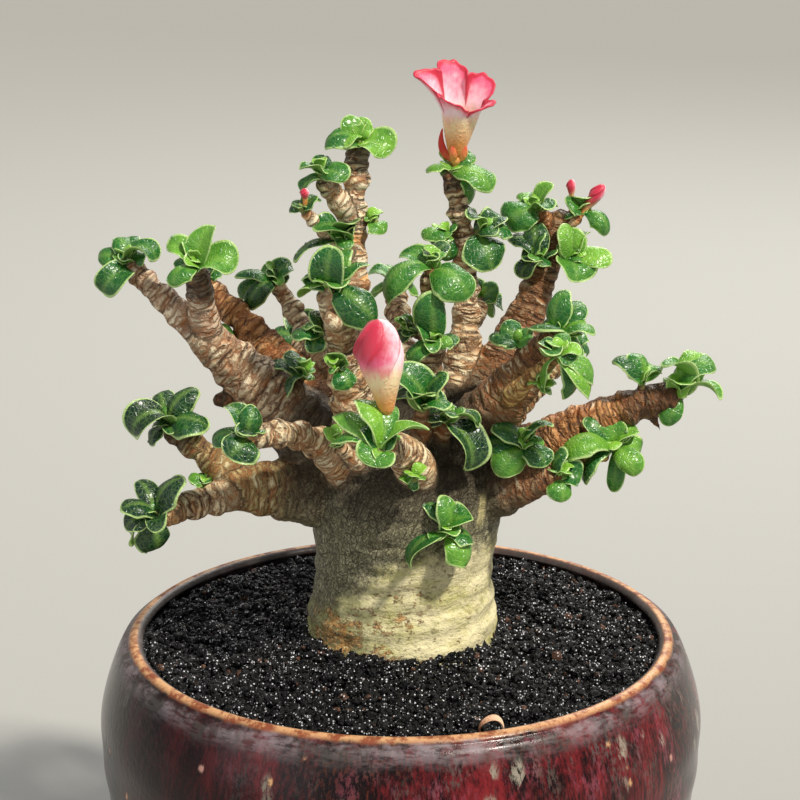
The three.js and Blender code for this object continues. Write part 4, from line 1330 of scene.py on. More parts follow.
@dataclass
class Bowl:
    """A thrown bowl: a foot ring, a full belly, a rounded lip and a floor with a drain hole."""

    wall: float = 5.4
    belly_radius: float = 101.6
    belly_height: float = 89.0
    fullness: float = 0.75
    foot_radius: float = 62.0
    foot_width: float = 8.0
    recess: float = 4.0
    floor: float = 11.0
    drain: float = 9.0
    finger_ring: float = 0.18
    waver: float = 0.35
    sides: int = 200
    finish: GlazeFinish = field(default_factory=GlazeFinish)

    def outer(self, height: Array) -> Array:
        """Gives the wall's outer radius at heights.

        Args:
            height: The heights.

        Returns:
            The radius at each height.
        """
        above = (height - self.belly_height) / (RIM_HEIGHT - self.belly_height)
        below = np.clip((self.belly_height - height) / self.belly_height, 0, 1)
        swollen = (1 - below ** 2) ** self.fullness
        lower = self.foot_radius + (self.belly_radius - self.foot_radius) * swollen
        upper = self.belly_radius - (self.belly_radius - RIM_RADIUS) * above ** 2
        return np.where(height > self.belly_height, upper, lower)

    def profile(self) -> Array:
        """Draws the closed section of the bowl.

        Returns:
            The section's [radius, height] points.
        """
        half = self.wall / 2
        lip_height = RIM_HEIGHT - half
        z = np.concatenate([np.linspace(0.6, 20, 16), np.linspace(22, lip_height, 52)])
        outside = np.stack([self.outer(z), z], 1)
        turn = np.radians(np.arange(12, 180, 12))
        crest = float(self.outer(np.array(RIM_HEIGHT))) - half
        lip = np.stack([crest + half * np.cos(turn), lip_height + half * np.sin(turn)], 1)
        z = np.linspace(lip_height, self.floor + 3, 40)
        inside = np.stack([self.outer(z) - self.wall, z], 1)
        hollow = self.foot_radius - self.foot_width
        under = [[self.drain, self.floor], [self.drain, self.recess], [hollow, self.recess],
                 [hollow, 0.5], [hollow + 0.5, 0], [self.foot_radius - 0.4, 0]]
        floor = [[inside[-1, 0] - 4, self.floor], [(inside[-1, 0] + self.drain) / 2, self.floor]]
        return np.concatenate([outside, lip, inside, floor, under])

    def build(self) -> Piece:
        """Makes the bowl, with faint rings left by the maker's fingers.

        Returns:
            The piece.
        """
        profile = self.profile()
        points = lathe(profile, self.sides)
        height = points[:, 2]
        ripple = self.finger_ring * np.sin(height / 2.9 + 1.5 * np.sin(height / 11))
        ripple += self.waver * speckle(points, 60.0)
        wall = ease(height, 6, 16) * (1 - ease(height, RIM_HEIGHT - 5, RIM_HEIGHT))
        points = points + unit(points * [1, 1, 0]) * (ripple * wall)[:, None]
        form = Form()
        form.add(points, loop_faces(len(profile), self.sides))
        return form.piece("glazed_bowl", self.finish.material(), "glaze", ["pot"])


@dataclass(frozen=True)
class Layer:
    """A layer of granules: its spacing, how full it is, and the ranges of its heights and sizes."""

    spacing: float
    share: float
    lift: tuple[float, float]
    size: tuple[float, float]


@dataclass
class Soil:
    """Loose granules over the packed soil, clumped and heaped against the trunk."""

    edge_height: float = 114.5
    mound: float = 4.5
    edge_radius: float = 89.4
    outer_radius: float = 84.9
    inner_radius: float = 30.5
    heap: float = 3.4
    swell: float = 2.2
    bank: float = 1.3
    scatter: float = 0.55
    layers: tuple[Layer, ...] = (
        Layer(2.3, 1.0, (0.2, 1.0), (1.0, 1.7)),
        Layer(2.6, 0.72, (0.8, 2.1), (0.9, 1.9)),
        Layer(1.75, 0.62, (1.2, 2.6), (0.4, 0.85)),
    )
    finish: SoilFinish = field(default_factory=SoilFinish)

    def top(self, place: Array) -> Array:
        """Gives the heaped surface's height at places.

        Args:
            place: The places, of which only X and Y count.

        Returns:
            The height at each place.
        """
        radius = np.hypot(place[:, 0], place[:, 1])
        flat = np.column_stack([place[:, :2], np.zeros(len(place))])
        heaps = self.swell * speckle(flat, 18.0) + self.heap * speckle(flat, 8.0, 3.0)
        banked = self.bank * (1 - ease(radius, self.inner_radius + 1, self.inner_radius + 9))
        edge = ease(radius, self.outer_radius - 5, self.outer_radius)
        packed = self.edge_height + self.mound * (1 - (radius / self.edge_radius) ** 2)
        away = ease(radius, self.inner_radius, self.inner_radius + 9)
        calm = (1 - 0.6 * edge) * (0.3 + 0.7 * away)
        return packed + np.maximum(heaps, -0.8) * calm + banked

    def stone(self, rng: Rng, count: int) -> tuple[Array, Faces]:
        """Makes rough pebbles of about unit radius, each with the twelve corners of an icosahedron.

        Args:
            rng: Where the random numbers come from.
            count: How many pebbles.

        Returns:
            The points, as pebbles by corners by three, and one pebble's faces.
        """
        golden = (1 + 5 ** 0.5) / 2
        flat = [(a, b * golden) for a in (-1, 1) for b in (-1, 1)]
        corners = unit(np.array([(0, a, b) for a, b in flat] + [(a, b, 0) for a, b in flat]
                                + [(b, 0, a) for a, b in flat], float))
        near = 1.06 * min(np.linalg.norm(corners[0] - c) for c in corners[1:])
        touching = np.linalg.norm(corners[:, None] - corners[None], axis=2) < near
        faces: Faces = []
        for i, j, k in combinations(range(len(corners)), 3):
            if touching[i, j] and touching[j, k] and touching[i, k]:
                out = np.dot(np.cross(corners[j] - corners[i], corners[k] - corners[i]), corners[i])
                faces.append((i, j, k) if out > 0 else (i, k, j))
        rough = corners * rng.uniform(0.76, 1.2, (count, len(corners), 1))
        rough = rough * rng.uniform(0.72, 1.2, (count, 1, 3))
        turn = np.linalg.qr(rng.normal(size=(count, 3, 3)))[0]
        turn *= np.sign(np.linalg.det(turn))[:, None, None]
        return rough @ turn, faces

    def spread(self, layer: Layer, rng: Rng) -> Array:
        """Scatters a layer's granules over the soil between the trunk and the wall.

        Args:
            layer: The layer.
            rng: Where the random numbers come from.

        Returns:
            The granules' centres.
        """
        line = np.arange(-self.outer_radius, self.outer_radius, layer.spacing)
        x, y = (rows.ravel() for rows in np.meshgrid(line, line))
        spots = np.stack([x, y, 0 * x], 1)
        spots[:, :2] += rng.uniform(-self.scatter, self.scatter, (len(spots), 2)) * layer.spacing
        radius = np.hypot(spots[:, 0], spots[:, 1])
        inside = (radius < self.outer_radius) & (radius > self.inner_radius)
        spots = spots[inside & (rng.random(len(spots)) < layer.share)]
        spots[:, 2] = self.top(spots) + rng.uniform(*layer.lift, len(spots))
        return spots

    def build(self) -> list[Piece]:
        """Makes the granules and dresses the packed soil under them.

        Returns:
            A piece for each layer.
        """
        rng = np.random.default_rng(SEED)
        material = self.finish.material()
        dress("soil", material)
        made = []
        for number, layer in enumerate(self.layers, 1):
            spots = self.spread(layer, rng)
            pebbles, faces = self.stone(rng, len(spots))
            radius = np.hypot(spots[:, 0], spots[:, 1])
            near = 1 - ease(radius, self.inner_radius, self.inner_radius + 8)
            size = rng.uniform(*layer.size, len(spots)) * (1 + 0.35 * near)
            points = spots[:, None] + pebbles * size[:, None, None]
            corners = pebbles.shape[1]
            first = corners * np.arange(len(spots))[:, None, None]
            form = Form()
            form.points = [points.reshape(-1, 3)]
            form.faces = (np.array(faces)[None] + first).reshape(-1, 3).tolist()
            form.values = {"grain": [np.repeat(rng.random(len(spots)), 3 * corners).reshape(-1, 3)]}
            made.append(form.piece(f"soil_granules_{number}", material, "soil", smooth=False))
        return made


@dataclass
class Fittings:
    """The drain mesh, and the dried scale that lies on the soil by the rim."""

    foot: tuple[float, float, float] = (28.0, -79.4, 118.0)
    arch: float = 3.6
    thickness: float = 0.5
    plastic: PlainFinish = PlainFinish("mesh_plastic", tint("202224"), 0.65)
    dry: DriedFinish = DriedFinish("dried_scale", tint("b87a56"), tint("f2cba8"), 0.6)

    def build(self) -> Piece:
        """Dresses the mesh and makes the curled scale.

        Returns:
            The scale.
        """
        dress("drain_mesh", self.plastic.material())
        sides, rows = 16, 28
        turn = np.linspace(math.radians(200), math.radians(-35), rows)
        bend = np.stack([np.cos(turn), 0.25 * np.sin(2 * turn), np.sin(turn)], 1)
        centre = np.array(self.foot) + self.arch * bend
        share = np.linspace(0, 1, rows)
        width = 0.35 + 1.9 * np.sin(math.pi * share) ** 0.8
        out = unit(bend)
        side = np.array([0.0, 1.0, 0.0])
        around = circle(sides)
        across = np.cos(around)[None, :, None] * width[:, None, None] * side
        cupped = 0.3 * (np.cos(around) ** 2 * width[:, None])[..., None]
        thick = self.thickness / 2 * np.sin(around)[None, :, None]
        rings = centre[:, None] + across + (thick + cupped) * out[:, None]
        points = np.concatenate([centre[:1], rings.reshape(-1, 3), centre[-1:]])
        along = np.concatenate([[0], np.repeat(share, sides), [1]])
        form = Form()
        form.add(points, tube_faces(rows, sides), petal=np.stack([along] * 3, 1))
        return form.piece("curled_scale", self.dry.material(), "dry_scale", ["dried_scale"])


# --- The plant ---


@dataclass
class Wood:
    """The trunk and every limb, grown as one skin."""

    trunk_radius: float = 31.0
    trunk_wave: float = 1.5
    base: float = 80.0
    shoulder: float = 116.0
    crown: float = 170.0
    top: float = 191.0
    lean: float = 3.0
    voxel: float = 1.0
    stout: float = 13.0
    knot_spacing: float = 8.4
    fold_spacing: float = 8.2
    creases: tuple[float, float] = (160.5, 168.5)
    crease_width: float = 1.1
    joint_width: float = 2.2
    finish: BarkFinish = field(default_factory=BarkFinish)
    grown: dict[str, Spine] = field(default_factory=dict)

    def trunk_width(self, height: Array) -> Array:
        """Gives the trunk's radius at heights.

        Args:
            height: The heights.

        Returns:
            The radius at each height.
        """
        phase = 2 * math.pi * (height - self.shoulder) / (self.crown - self.shoulder)
        below = np.clip(self.shoulder - height, 0, None) / (self.shoulder - self.base + 2)
        above = np.clip(height - self.crown, 0, None) / (self.top - self.crown + 3)
        wave = self.trunk_radius + self.trunk_wave * np.cos(phase)
        return wave * np.sqrt(np.clip((1 - below ** 2) * (1 - above ** 2), 0, None))

    def grow(self) -> dict[str, Spine]:
        """Lays the centre line of the trunk and of each limb.

        Returns:
            The lines, by limb.
        """
        middle = (self.base + self.top) / 2
        control = np.array([[0, 0, self.base], [0, 0, middle], [self.lean, 0, self.top]])
        tall = self.top - self.base
        self.grown["trunk"] = Spine(
            control, lambda t: self.trunk_width(self.base + np.asarray(t) * tall))
        for name, limb in LIMBS.items():
            self.grown[name] = limb.spine(self.grown)
        return self.grown

    def body(self) -> Mesh:
        """Merges a tube for each centre line into one skin of even faces.

        Returns:
            The mesh, in metres.
        """
        form = Form()
        for name, spine in self.grown.items():
            sides = 64 if name == "trunk" else 26
            points, faces, _ = spine.skin(1.4, sides)
            form.add(points, faces)
        mesh = bpy.data.meshes.new("rough_wood")
        mesh.from_pydata(np.concatenate(form.points) * MM, [], form.faces)
        rough = placed("rough_wood", mesh)
        merge = rough.modifiers.new("merge", "REMESH")
        merge.mode = "VOXEL"
        merge.voxel_size = self.voxel * MM
        graph = bpy.context.evaluated_depsgraph_get()
        merged = bpy.data.meshes.new_from_object(rough.evaluated_get(graph))
        bpy.data.objects.remove(rough)
        bpy.data.meshes.remove(mesh)
        merged.name = "trunk_and_limbs"
        return merged

    def nearest(self, points: Array) -> tuple[Array, Array, Array, Array]:
        """Finds which centre line each point of the skin belongs to.

        Args:
            points: The skin's points.

        Returns:
            Each point's line number, its millimetres along the line, its place across the line, and
            how far it is from the next line's skin.
        """
        found = []
        for number, spine in enumerate(self.grown.values()):
            t = np.linspace(0, 1, max(12, round(spine.length() / 1.2)))
            across, lift = spine.sides(t)
            found.append(np.column_stack([
                spine.at(t), spine.ahead(t), across, lift, np.asarray(spine.radius(t), float),
                t * spine.length(), np.full(len(t), number)]))
        found = np.concatenate(found)
        centre, ahead, across, lift = (found[:, 3 * i:3 * i + 3] for i in range(4))
        radius, along, owner = found[:, 12], found[:, 13], found[:, 14].astype(int)
        starts = np.flatnonzero(np.diff(owner, prepend=-1))
        rows = []
        for block in np.array_split(points, max(1, len(points) // 3000)):
            gap = np.linalg.norm(block[:, None] - centre[None], axis=2) - radius
            best = gap.argmin(1)
            lines = np.sort(np.minimum.reduceat(gap, starts, axis=1), axis=1)
            away = block - centre[best]
            forward, *cross = [(away * side[best]).sum(1) for side in (ahead, across, lift)]
            rows.append(np.column_stack([owner[best], along[best] + forward, *cross,
                                         lines[:, 1] - lines[:, 0]]))
        rows = np.concatenate(rows)
        return rows[:, 0].astype(int), rows[:, 1], rows[:, 2:4], rows[:, 4]

    def relief(self, points: Array, owner: Array, skin: Array, joint: Array, rest: Array) -> Array:
        """Works out how far scars and knots stand out on limbs, and wrinkles on the trunk.

        Args:
            points: The skin's points.
            owner: The number of the line that each point belongs to. The trunk is 0.
            skin: Each point's place in its line's own frame.
            joint: How near it is to another line, from 0 to 1.
            rest: The millimetres left to the line's end.

        Returns:
            The millimetres for each point.
        """
        knots = np.array([0.0] + [limb.bark.value[2] for limb in LIMBS.values()])[owner]
        along, turn = skin[:, 2], 2 * math.pi
        strip = skin * [0.45, 0.45, 1.0]
        ridges = 0.75 * speckle(strip, 3.2, 3.0) + 0.3 * speckle(strip, 1.7, 6.0)
        scars = 0.6 * np.abs(np.sin(math.pi * along / self.finish.ring_spacing)) ** 0.7 - 0.38
        scars = scars * (0.35 + 0.65 * ease(speckle(points, 6.0, 12.0), -0.3, 0.4))
        swell = np.cos(turn * along / self.knot_spacing + 2 * owner)
        swell = swell + 0.8 * speckle(points, 9.0, 11.0)
        scars = ease(along, 4, 16) * (scars + knots * swell * ease(rest, 2, 9))
        height = 0.4 * speckle(points, 7.0) + 0.25 * speckle(points, 2.6, 4.0)
        height += (1 - joint) * (scars + (0.35 + 0.65 * ease(along, 8, 24)) * ridges)
        wrinkle = 0.3 * speckle(points * [0.3, 0.3, 1.0], 2.6, 2.0)
        wrinkle = wrinkle + 0.35 * speckle(points, 9.0, 5.0)
        x, z = points[:, 0], points[:, 2]
        level = z - 0.1 * x + 1.6 * speckle(points, 14.0, 8.0)
        folds = 0.38 * np.cos(turn * level / self.fold_spacing) * (1 - ease(z, 142, 156))
        crease = sum(np.exp(-((z - at - 0.05 * x) / self.crease_width) ** 2) for at in self.creases)
        trunk = 0.5 * height + wrinkle + folds - 0.6 * crease
        return np.where(owner > 0, height, trunk)

    def build(self) -> Piece:
        """Makes the wood: merges and softens it, adds scars and wrinkles, and stores its colours.

        Returns:
            The piece.
        """
        self.grow()
        mesh = self.body()
        count = len(mesh.vertices)
        points = np.empty(count * 3)
        mesh.vertices.foreach_get("co", points)
        points = points.reshape(-1, 3) / MM
        edges = np.empty(len(mesh.edges) * 2, int)
        mesh.edges.foreach_get("vertices", edges)
        edges = edges.reshape(-1, 2)
        points = soften(points, edges, 5, 0.5, -0.52)
        owner, along, local, margin = self.nearest(points)
        lengths = np.array([spine.length() for spine in self.grown.values()])
        joint = np.exp(-np.maximum(margin, 0) / self.joint_width)
        warped = along + 0.8 * speckle(points, 6.0, 9.0)
        skin = np.column_stack([local[:, 0] + 40 * owner, local[:, 1], warped])
        height = self.relief(points, owner, skin, joint, lengths[owner] - along)
        mesh.vertices.foreach_set("co", (points * MM).ravel())
        mesh.update()
        normals = np.empty(count * 3)
        mesh.vertices.foreach_get("normal", normals)
        points = points + normals.reshape(-1, 3) * height[:, None]
        mesh.vertices.foreach_set("co", (points * MM).ravel())
        ringed = np.where(owner > 0, ease(along, 6, 20) * (1 - 0.8 * joint), 0)
        dark = self.darkness(owner, along, lengths[owner], joint)
        stout = np.array([True] + [limb.thick >= self.stout for limb in LIMBS.values()])[owner]
        young = ease(along + 4 * speckle(points, 8.0, 15.0), 20, 34)
        old = np.where(owner > 0, 0.9 * stout * (1 - young), 1.0)
        self.store(mesh, edges, owner, np.stack([old, dark, ringed], 1), skin)
        mesh.polygons.foreach_set("use_smooth", [True] * len(mesh.polygons))
        return fasten("trunk_and_limbs", mesh, self.finish.material(), ["caudex"])

    def darkness(self, owner: Array, along: Array, length: Array, joint: Array) -> Array:
        """Works out how dark the limbs' skin is: dark collars, and painted shade low down and at
        joints.

        Args:
            owner: The number of the line that each point belongs to.
            along: Its millimetres along the line.
            length: The line's length.
            joint: How near the point is to another line, from 0 to 1.

        Returns:
            The darkness from 0 to 1.
        """
        collar = np.array([0.0] + [limb.collar for limb in LIMBS.values()])[owner]
        capped = np.clip((1.25 * collar - (length - along)) / np.maximum(0.6 * collar, 0.1), 0, 1)
        # Painted shade: darker near each limb's base and where it meets another limb.
        low = 0.34 * (1 - ease(along, 3, 20)) + 0.25 * joint
        return np.where(owner > 0, np.maximum(capped * (collar > 0), low), 0)

    def store(self, mesh: Mesh, edges: Array, owner: Array, marks: Array, skin: Array) -> None:
        """Stores the bark's colours and places at the mesh's points, with the colours softened.

        Args:
            mesh: The wood.
            edges: Its edges, as pairs of point numbers.
            owner: The number of the line that each point belongs to. The trunk is 0.
            marks: Trunk share, darkness of collars and painted shade, and ring scars' strength.
            skin: Each point's place in its line's own frame.
        """
        barks = [Bark.ASH] + [limb.bark for limb in LIMBS.values()]
        pale, deep = (np.array([bark.value[i] for bark in barks])[owner] for i in (0, 1))
        rows = soften(np.column_stack([pale, deep, marks]), edges, 6, 0.6, 0.0)
        for key, start in (("pale", 0), ("deep", 3)):
            attribute = mesh.attributes.new(key, "FLOAT_COLOR", "POINT")
            filled = np.column_stack([rows[:, start:start + 3], np.ones(len(rows))])
            attribute.data.foreach_set("color", filled.astype(np.float32).ravel())
        store_values(mesh, "marks", rows[:, 6:9])
        store_values(mesh, "skin", skin)


def soften(values: Array, edges: Array, rounds: int, pull: float, push: float) -> Array:
    """Averages values with those of neighbouring points.

    Args:
        values: One row for each point.
        edges: The pairs of neighbours.
        rounds: How many times.
        pull: How far each value moves to its neighbours' mean.
        push: How far it then moves back, as a negative number, to keep its volume.

    Returns:
        The softened values.
    """
    count = np.bincount(edges.ravel(), minlength=len(values))[:, None].clip(1)
    for step in [pull, push] * rounds:
        if not step:
            continue
        total = np.stack([
            np.bincount(edges[:, 0], row[edges[:, 1]], len(values))
            + np.bincount(edges[:, 1], row[edges[:, 0]], len(values)) for row in values.T], 1)
        values = values + step * (total / count - values)
    return values


@dataclass
class Foliage:
    """Every leafy shoot: a closed blade for each leaf, young leaves at its end, and drops."""

    grown: dict[str, Spine]
    thickness: float = 0.68
    widest: float = 0.6
    fillers: int = 5
    young: int = 3
    tilt: float = 0.4
    skew: float = 0.25
    domes: tuple[float, ...] = (1.05, 0.8, 0.5, -0.6)
    face: Array = field(default_factory=lambda: unit(np.array([0.0, -0.33, 0.94])))
    without_young: tuple[str, ...] = (
        "tall_right", "bud_limb", "tall_left_twig", "right_upper_right")
    finish: LeafFinish = field(default_factory=LeafFinish)

    def outline(self, t: Array) -> Array:
        """Gives a blade's width along its length.

        Args:
            t: Shares of the way along.

        Returns:
            The width at each share, as a share of its full width.
        """
        round_end = np.sqrt(np.clip(1 - ((t - self.widest) / (1 - self.widest)) ** 2, 0, 1))
        narrow_start = 1 - 0.84 * np.clip(1 - t / self.widest, 0, 1) ** 2.7
        return np.where(t > self.widest, round_end, narrow_start)

    def arc(self, t: Array, curl: float) -> tuple[Array, Array]:
        """Bends a line from 0 to 1 into an arc that tightens towards its end.

        Args:
            t: Shares of the way along.
            curl: How strongly it arches.

        Returns:
            The places and the unit directions, as complex numbers: along the chord and above it.
        """
        total = 4 * math.atan(0.08 + 0.13 * curl)
        fine = np.linspace(0, 1, 81)
        steps = np.exp(-1j * total * fine ** 1.25)
        path = np.concatenate([[0], np.cumsum(steps[1:] + steps[:-1])])
        ahead = np.exp(-1j * total * t ** 1.25) * abs(path[-1]) / path[-1]
        path = path / path[-1]
        return np.interp(t, fine, path.real) + 1j * np.interp(t, fine, path.imag), ahead

    def leaf(self, form: Form, base: Array, tip: Array, width: float, curl: float, tone: float,
             rng: Rng, rings: int = 22, sides: int = 24, drops: int = 3) -> None:
        """Adds a blade that arches from its base to its tip and is domed or cupped across.

        Args:
            form: The shoot's form.
            base: Where the leaf stands on its stem.
            tip: Where it ends.
            width: Its full width.
            curl: How strongly it arches.
            tone: How bright its green is.
            rng: Where the random numbers come from.
            rings: How many rings of points it has.
            sides: How many points a ring has.
            drops: The most drops of water that it carries.
        """
        length = float(np.linalg.norm(tip - base))
        run = (tip - base) / length
        rise = unit(self.face - run * self.face.dot(run))
        across = np.cross(rise, run)
        roll, twist, skew = (rng.uniform(-most, most) for most in (self.tilt, self.tilt, self.skew))
        snug = min(1.0, 0.85 * length / width)
        dome = snug * rng.choice(self.domes, p=[1 / len(self.domes)] * len(self.domes))
        rise, across = turned(rise, across, roll)
        t = (1 - np.cos(math.pi * np.arange(1, rings + 1) / (rings + 1))) / 2
        place, heading = self.arc(t, snug * curl)
        centre = base + length * (np.outer(place.real, run) + np.outer(place.imag, rise))
        ahead = np.outer(heading.real, run) + np.outer(heading.imag, rise)
        across, lift = turned(across, np.cross(ahead, across), twist * t[:, None])
        turn = circle(sides)
        sideways, through = np.cos(turn)[None], np.sin(turn)[None]
        half = (width / 2 * self.outline(t))[:, None]
        bow = dome * (0.62 + 0.1 * curl) * (0.45 + 0.55 * ease(t, 0.0, 0.45))
        bow = (bow * (1 - 0.7 * ease(t, 0.65, 1.0)))[:, None]
        swing = bow * sideways * (1 + skew * sideways)
        radius = half / np.sin(bow)
        thick = (self.thickness / 2 * np.sqrt(self.outline(t)))[:, None] * through
        crease = 0.35 * np.exp(-np.abs(radius * swing) / 0.8) * np.sin(math.pi * t)[:, None] ** 0.5
        wave = 0.09 * width * np.sin(2 * math.pi * (1.5 * t[:, None] + rng.random()) + 2 * sideways)
        up = radius * (np.cos(swing) - 1) + thick * np.cos(swing) - crease
        up = up + wave * sideways ** 2 * np.sqrt(half / width)
        out = radius * np.sin(swing) + thick * np.sin(swing)
        rows = centre[:, None] + out[..., None] * across[:, None] + up[..., None] * lift[:, None]
        points = np.concatenate([base[None], rows.reshape(-1, 3), tip[None]])
        beyond = np.clip((t - self.widest) / (1 - self.widest), 0, 1)[:, None]
        spread = np.where(beyond > 0, self.outline(t)[:, None], 1)
        edge = np.sqrt((sideways * spread) ** 2 + beyond ** 2)
        rib = np.exp(-(radius * swing / 0.4) ** 2)
        blade = [np.concatenate([[first], np.broadcast_to(value, rows.shape[:2]).ravel(), [last]])
                 for first, value, last in ((1, rib, 0), (0, edge, 1), (0, through, 0))]
        share = np.concatenate([[0], np.repeat(t, sides), [1]])
        kind = np.stack([np.full(len(share), tone), share, 0 * share], 1)
        form.add(points, tube_faces(rings, sides), blade=np.stack(blade, 1), kind=kind,
                 wet=np.zeros(3))
        for _ in range(rng.integers(0, drops + 1)):
            i, j = rng.integers(rings // 4, rings - 3), rng.integers(2, sides // 2 - 1)
            normal = np.sin(swing[i, j]) * across[i] + np.cos(swing[i, j]) * lift[i]
            self.drop(form, rows[i, j], normal, rng.uniform(0.25, 0.6), tone)

    def drop(self, form: Form, place: Array, normal: Array, size: float, tone: float) -> None:
        """Adds a flattened drop of water.

        Args:
            form: The shoot's form.
            place: Where it stands.
            normal: The direction that it faces.
            size: Its radius.
            tone: The tone of the leaf under it.
        """
        lean = np.cross(normal, sideways_from(normal))
        level = unit(np.stack([lean, np.cross(normal, lean)]))
        turn, tall = circle(10), 0.6
        ring = np.outer(np.cos(turn), level[0]) + np.outer(np.sin(turn), level[1])
        rows = [place + size * (math.cos(a) * ring + tall * math.sin(a) * normal)
                for a in np.radians(DROP_ANGLES)]
        ends = [place - tall * size * normal, place + tall * size * normal]
        points = np.concatenate([ends[0][None], *rows, ends[1][None]])
        form.add(points, tube_faces(len(rows), len(turn)), blade=np.array([0.0, 0.0, 1.0]),
                 kind=np.array([tone, 0.5, 0.0]), wet=np.ones(3))

    def shoot(self, plan: Shoot, material: Material, rng: Rng) -> Piece:
        """Makes a shoot: a short stem, its leaves, small ones among them, and young ones on top.

        Args:
            plan: The shoot's plan.
            material: The leaves' finish.
            rng: Where the random numbers come from.

        Returns:
            The piece.
        """
        seat, axis = plan.frame(self.grown)
        leaves = [(tip, whorl) for whorl in plan.whorls for tip in whorl.tips()]
        tall = 3 + 0.4 * len(leaves)
        form = Form()
        foot, top = seat - 1.2 * axis, seat + tall * axis
        stem = Spine(np.array([foot, (foot + top) / 2, top]),
                     lambda t: 1.75 - 0.8 * np.asarray(t) + 0.12 * np.sin(20 * np.asarray(t)))
        points, faces, share = stem.skin(0.5, 14)
        bare = np.stack([0 * share + plan.tone_and_light, share, 1 + 0 * share], 1)
        form.add(points, faces, blade=np.zeros(3), kind=bare, wet=np.zeros(3))
        for i, (tip, whorl) in enumerate(leaves):
            base = seat + axis * tall * (0.45 + 0.5 * i / len(leaves))
            tone = plan.tone_and_light + rng.uniform(-0.22, 0.2)
            self.leaf(form, base, seat + tip, whorl.width, whorl.curl, tone, rng)
        usual = sum(whorl.reach for _, whorl in leaves) / len(leaves)
        for i in range(self.fillers):
            size = usual * rng.uniform(0.45, 0.72)
            heading = 360 * i / self.fillers + rng.uniform(-25, 25)
            grows = unit(0.35 * axis + 0.25 * UP + direction(heading, rng.uniform(-35, 35)))
            base = seat + axis * tall * rng.uniform(0.2, 0.7)
            self.leaf(form, base, base + size * grows, rng.uniform(0.7, 0.95) * size,
                      rng.uniform(2, 5), plan.tone_and_light + rng.uniform(-0.25, 0.3), rng, 14, 18, 1)
        for i in range(0 if plan.name in self.without_young else self.young):
            size = rng.uniform(3.8, 6.2)
            heading = 360 * i / self.young + rng.uniform(0, 70)
            grows = unit(0.5 * axis + 0.9 * UP + 0.85 * direction(heading, 0))
            self.leaf(form, top - 0.8 * axis, top + size * grows, 0.75 * size, rng.uniform(2, 5),
                      plan.tone_and_light + 0.4, rng, 12, 16, 0)
        return form.piece(f"shoot_{plan.name}", material, "leaf", [f"leaves_{plan.name}"])

    def build(self) -> list[Piece]:
        """Makes every shoot.

        Returns:
            The pieces.
        """
        rng = np.random.default_rng(SEED + 1)
        material = self.finish.material()
        return [self.shoot(plan, material, rng) for plan in SHOOTS]


